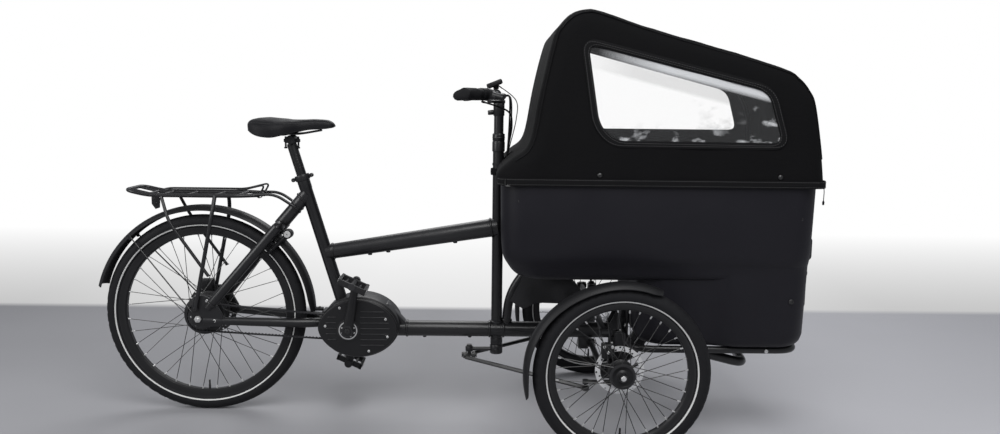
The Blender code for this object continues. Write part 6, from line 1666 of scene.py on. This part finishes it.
for side, word in SIDE_NAMES.items():
    bm = bmesh.new()
    rings = []
    axis = bar_axis(side)
    back = vec(-1, 0, -0.25) - axis * vec(-1, 0, -0.25).dot(axis)
    back.normalize()
    lift = axis.cross(back)
    spans = [(-0.004, 0.45, 0.005), (-0.0032, 0.86, 0.015), (-0.001, 1.0, 0.02), (0.01, 1.0, 0.024),
             (0.028, 1.0, 0.023), (0.05, 0.97, 0.017), (0.072, 0.95, 0.008), (0.092, 0.95, 0.002),
             (0.104, 1.0, 0.0), (0.1135, 1.0, 0.0), (0.115, 0.93, 0.0)]
    for inward, share, wing in spans:
        ring = []
        for k in range(32):
            a = 2 * pi * k / 32
            reach = 0.0168 * share + wing * max(0.0, cos(a)) ** 5
            ring.append(bm.verts.new(bar_point(side, inward)
                                     + reach * (cos(a) * back + sin(a) * lift)))
        rings.append(ring)
    skin(bm, rings)
    for k in range(9):
        place = bar_point(side, 0.016 + 0.008 * k)
        lathe(bm, [(0.0162, -0.0016), (0.0173, -0.0008), (0.0173, 0.0008), (0.0162, 0.0016)], place,
              axis, steps=32)
    piece(f"winged_grip_{word}", bm, [GRIP_RUBBER], "steering", [f"grip_{word}"], sharp=45)

    bm = bmesh.new()
    pivot = lever_pivot(side)
    start = pivot + vec(0, 0, -0.0112)
    out = -bar_axis(side)
    collar(bm, start, (0, 0, 1), 0.0045, 0.0088, 0.0095, -0.0048, 0.0048, 0.0008, 30)
    blade = rounded([start + out * 0.006, start + out * 0.05 + vec(0.006, 0, 0),
                     start + out * 0.104, start + out * 0.12 + vec(0.006, 0, 0)], 0.03, 10)
    widths = [0.007 - 0.0012 * sin(pi * k / (len(blade) - 1)) for k in range(len(blade))]
    sweep(bm, blade, widths, sides=18, flat=0.8, up=(0, 0, 1))
    sweep(bm, [blade[-2], blade[-1], blade[-1] + out * 0.003], [0.005, 0.006, 0.003], sides=16)
    piece(f"lever_blade_{word}", bm, [ALLOY], f"brake_lever_{word}", [f"brake_lever_{word}"])

bm = bmesh.new()
sleeve = [(0.0127, 0.0), (0.0165, 0.0), (0.0178, 0.0015), (0.0178, 0.026), (0.0185, 0.028),
          (0.0185, 0.0325), (0.0172, 0.034), (0.0127, 0.034)]
lathe(bm, sleeve, bar_point(-1, 0.1165), bar_axis(-1), steps=64, closed=True,
      wobble=lambda k, index: 0.0007 * (k % 4 < 2) if 1 < index < 4 else 0.0)
piece("gear_twist_grip", bm, [GRIP_RUBBER], "twist_shifter", ["twist_shifter"])

bm = bmesh.new()
TIP = Matrix.Rotation(radians(-22), 4, "Y")
foot_z = BAR_Z + 0.0193
spot = at(BAR_X - 0.004, 0, foot_z + 0.018)
solid_box(bm, spot + vec(-0.026, -0.034, -0.01), spot + vec(0.026, 0.034, 0.0055), 0.0045, 4, 0,
          TIP)
glass = spot + TIP @ vec(0, 0, 0.0055)
solid_box(bm, glass + vec(-0.0215, -0.0295, -0.0006), glass + vec(0.0215, 0.0295, 0.0008), 0.0006,
          2, 1, TIP)
solid_box(bm, at(BAR_X - 0.008, -0.012, foot_z - 0.0004), at(BAR_X + 0.01, 0.012, foot_z + 0.0175),
          0.003)
for k in (-1, 0, 1):
    key = spot + TIP @ vec(-0.0235, 0.012 * k, 0.0058)
    lathe(bm, [(0.0, 0.001), (0.0016, 0.0008), (0.002, 0.0), (0.0, -0.001)], key,
          TIP @ vec(0, 0, 1), steps=16, mat=2)
piece("ride_display", bm, [PLASTIC, SCREEN, GREY_PLASTIC], "steering", ["display"])

CLIP_X, CLIP_Z = 0.9773, 0.83
CABLE_R = 0.0027
bm = bmesh.new()
solid_box(bm, at(CLIP_X, -0.012, CLIP_Z - 0.01), at(CLIP_X + 0.012, 0.012, CLIP_Z + 0.01), 0.0025)
lathe(bm, [(0.0183, -0.004), (0.0196, -0.0035), (0.0196, 0.0035), (0.0183, 0.004)],
      at(HEAD_X, 0, CLIP_Z), (0, 0, 1), steps=40)
piece("cable_clip", bm, [PLASTIC], "frame", ["cable_loom"])

# Each cable: start, radius, drop of its first bend, side step, reach of its bow and of that
# bend, and the bow's drop
CABLES = {
    "brake_hose_right": (lever_pivot(-1) + vec(0.008, 0.022, 0.007), CABLE_R, -0.008, -0.0072,
                         0.016, 0.014, 0.075),
    "brake_hose_left": (lever_pivot(1) + vec(0.008, -0.022, 0.007), CABLE_R, -0.008, 0.0072,
                        0.022, 0.02, 0.075),
    "shifter_cable": (bar_point(-1, 0.1335) + vec(0, 0, -0.0215), CABLE_R, -0.05, 0.0,
                      0.024, 0.008, 0.095),
    "display_wire": (at(BAR_X + 0.01, 0.004, foot_z + 0.01), 0.0015, -0.016, 0.0025,
                     0.038, 0.036, 0.075)}
for name, (start, thick, fall, y, bow, lead, low) in CABLES.items():
    path = [start, at(CLIP_X + lead, start.y * 0.45, BAR_Z + fall),
            at(CLIP_X + bow, y, BAR_Z - low), at(CLIP_X + 0.3 * bow + 0.007, y, CLIP_Z + 0.06),
            at(CLIP_X + 0.006, y, CLIP_Z + 0.008)]
    line = curve_through(path, 9)
    bm = bmesh.new()
    sweep(bm, line, thick, sides=12)
    for spot, along in ((line[0], line[1] - line[0]), (line[-1], line[-2] - line[-1])):
        lathe(bm, [(0.0, 0.0), (thick * 1.35, 0.0), (thick * 1.35, 0.011), (thick, 0.013)], spot,
              along, steps=14)
    made = loose(bm, name)
    made.data.materials.append(GRIP_RUBBER)
    made.data.shade_smooth()
    at(0.98, 0, 0.842)
    at(0.98, 0, 0.985)
    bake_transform(made)
    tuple(line[0])
    sum((b - a).length for a, b in zip(line, line[1:]))


# Steering column, calipers, and finishes and fittings for the linkage

PITMAN_X, PITMAN_Z = 0.869, 0.212
bm = bmesh.new()
sweep(bm, [at(HEAD_X, 0, 0.2), at(HEAD_X, 0, 0.98)], 0.0125, sides=32)
lathe(bm, [(0.0126, 0.0), (0.0185, 0.0), (0.02, 0.002), (0.02, 0.021), (0.018, 0.0237),
           (0.0126, 0.0237)], at(HEAD_X, 0, 0.9053), (0, 0, 1), steps=44, closed=True)
lathe(bm, [(0.0202, 0.0), (0.0207, 0.0008), (0.0207, 0.0022), (0.0202, 0.003)],
      at(HEAD_X, 0, 0.9145), (0, 0, 1), steps=44, closed=True, mat=1)
sweep(bm, [at(HEAD_X, 0, 0.925), at(HEAD_X, 0, 0.985)], 0.0155, sides=36)
collar(bm, at(HEAD_X, 0, 0.198), (0, 0, 1), 0.0126, 0.0195, 0.021, 0.0, 0.0297, 0.002, 44)
sweep(bm, [at(HEAD_X, 0, PITMAN_Z), at(PITMAN_X, 0, PITMAN_Z)], [0.009, 0.0075], sides=20, flat=0.8,
      up=(0, 0, 1))
collar(bm, at(PITMAN_X, 0, PITMAN_Z), (0, 0, 1), 0.0063, 0.012, 0.013, -0.008, 0.008, 0.0015)
bolt(bm, at(HEAD_X, -0.0205, 0.213), (0, -1, 0), 0.005, 0.004, mat=1)
bolt(bm, at(HEAD_X, -0.0195, 0.923), (0, -1, 0), 0.0036, 0.003, mat=1)
piece("column_shaft", bm, [PAINT, DARK_STEEL], "steering", ["steering_column"])


def caliper(name, low, high, disc_y, body, replaces, out):
    """Two rounded halves over the disc, with a bridge, bolts and a hose banjo."""
    low, high = Vector(low), Vector(high)
    bm = bmesh.new()
    slot = 0.0025
    solid_box(bm, at(low.x, low.y, low.z), at(high.x, disc_y - slot, high.z), 0.005, 4)
    solid_box(bm, at(low.x, disc_y + slot, low.z), at(high.x, high.y, high.z), 0.005, 4)
    solid_box(bm, at(low.x + 0.004, low.y + 0.002, high.z - 0.01),
              at(high.x - 0.004, high.y - 0.002, high.z - 0.0008), 0.002)
    face_y = high.y if out > 0 else low.y
    mid_x = (low.x + high.x) / 2
    lathe(bm, [(0.0, 0.0008), (0.0085, 0.0008), (0.0105, 0.0), (0.0105, -0.002), (0.0, -0.002)],
          at(mid_x, face_y, low.z + 0.019), (0, out, 0), steps=30, mat=1)
    for x, z in ((low.x + 0.007, high.z - 0.008), (high.x - 0.007, high.z - 0.008),
                 (mid_x, low.z + 0.019)):
        bolt(bm, at(x, face_y, z), (0, out, 0), 0.0046, 0.003, mat=2)
    for lean in (-1, 1):
        bolt(bm, at(mid_x + lean * 0.012, (low.y + high.y) / 2 + 0.004, high.z - 0.001), (0, 0, 1),
             0.0034, 0.003, mat=2)
    return piece(name, bm, [ALLOY, PLASTIC, STEEL], body, [replaces])


for side, word in SIDE_NAMES.items():
    near, far = sorted((side * 0.374, side * 0.345))
    caliper(f"front_caliper_body_{word}", (1.262, near, 0.294), (1.2995, far, 0.338), side * 0.358,
            f"knuckle_{word}", f"front_caliper_{word}", side)
caliper("rear_caliper_body", (-0.04, 0.047, 0.384), (0.004, 0.0787, 0.428), 0.058, "frame",
        "rear_caliper", 1)

FINISHES = {"hood_frame": PAINT, "tie_rod_pin": DARK_STEEL, "lower_tilt_beam": PAINT,
            "upper_tilt_beam": PAINT}
for word in SIDE_NAMES.values():
    FINISHES.update({f"carrier_{word}": ALLOY, f"knuckle_{word}": ALLOY,
                     f"tie_rod_{word}": DARK_STEEL})
for name, finish in FINISHES.items():
    for held in NODES[name].material_slots:
        held.material = finish

KINGPIN_Y, TIE_ROD_Z, BALL_X = 0.325, 0.19, 1.222
for side, word in SIDE_NAMES.items():
    bm = bmesh.new()
    ball = at(BALL_X, side * KINGPIN_Y, TIE_ROD_Z)
    lathe(bm, [(0.0, 0.0115), (0.0052, 0.011), (0.0086, 0.0088), (0.0095, 0.006), (0.006, 0.0052),
               (0.0, 0.0052)], ball, (0, 0, -1), steps=28)
    piece(f"ball_cap_{word}", bm, [STEEL], f"tie_rod_{word}")

    bm = bmesh.new()
    axle_end = FRONT[side] + vec(0, side * 0.0423, 0)
    lathe(bm, [(0.0, 0.003), (0.0038, 0.003), (0.0042, 0.0014), (0.0066, 0.0014), (0.0078, 0.0002),
               (0.008, -0.006), (0.0, -0.006)], axle_end, (0, side, 0), steps=30)
    piece(f"axle_bolt_{word}", bm, [STEEL], f"knuckle_{word}")
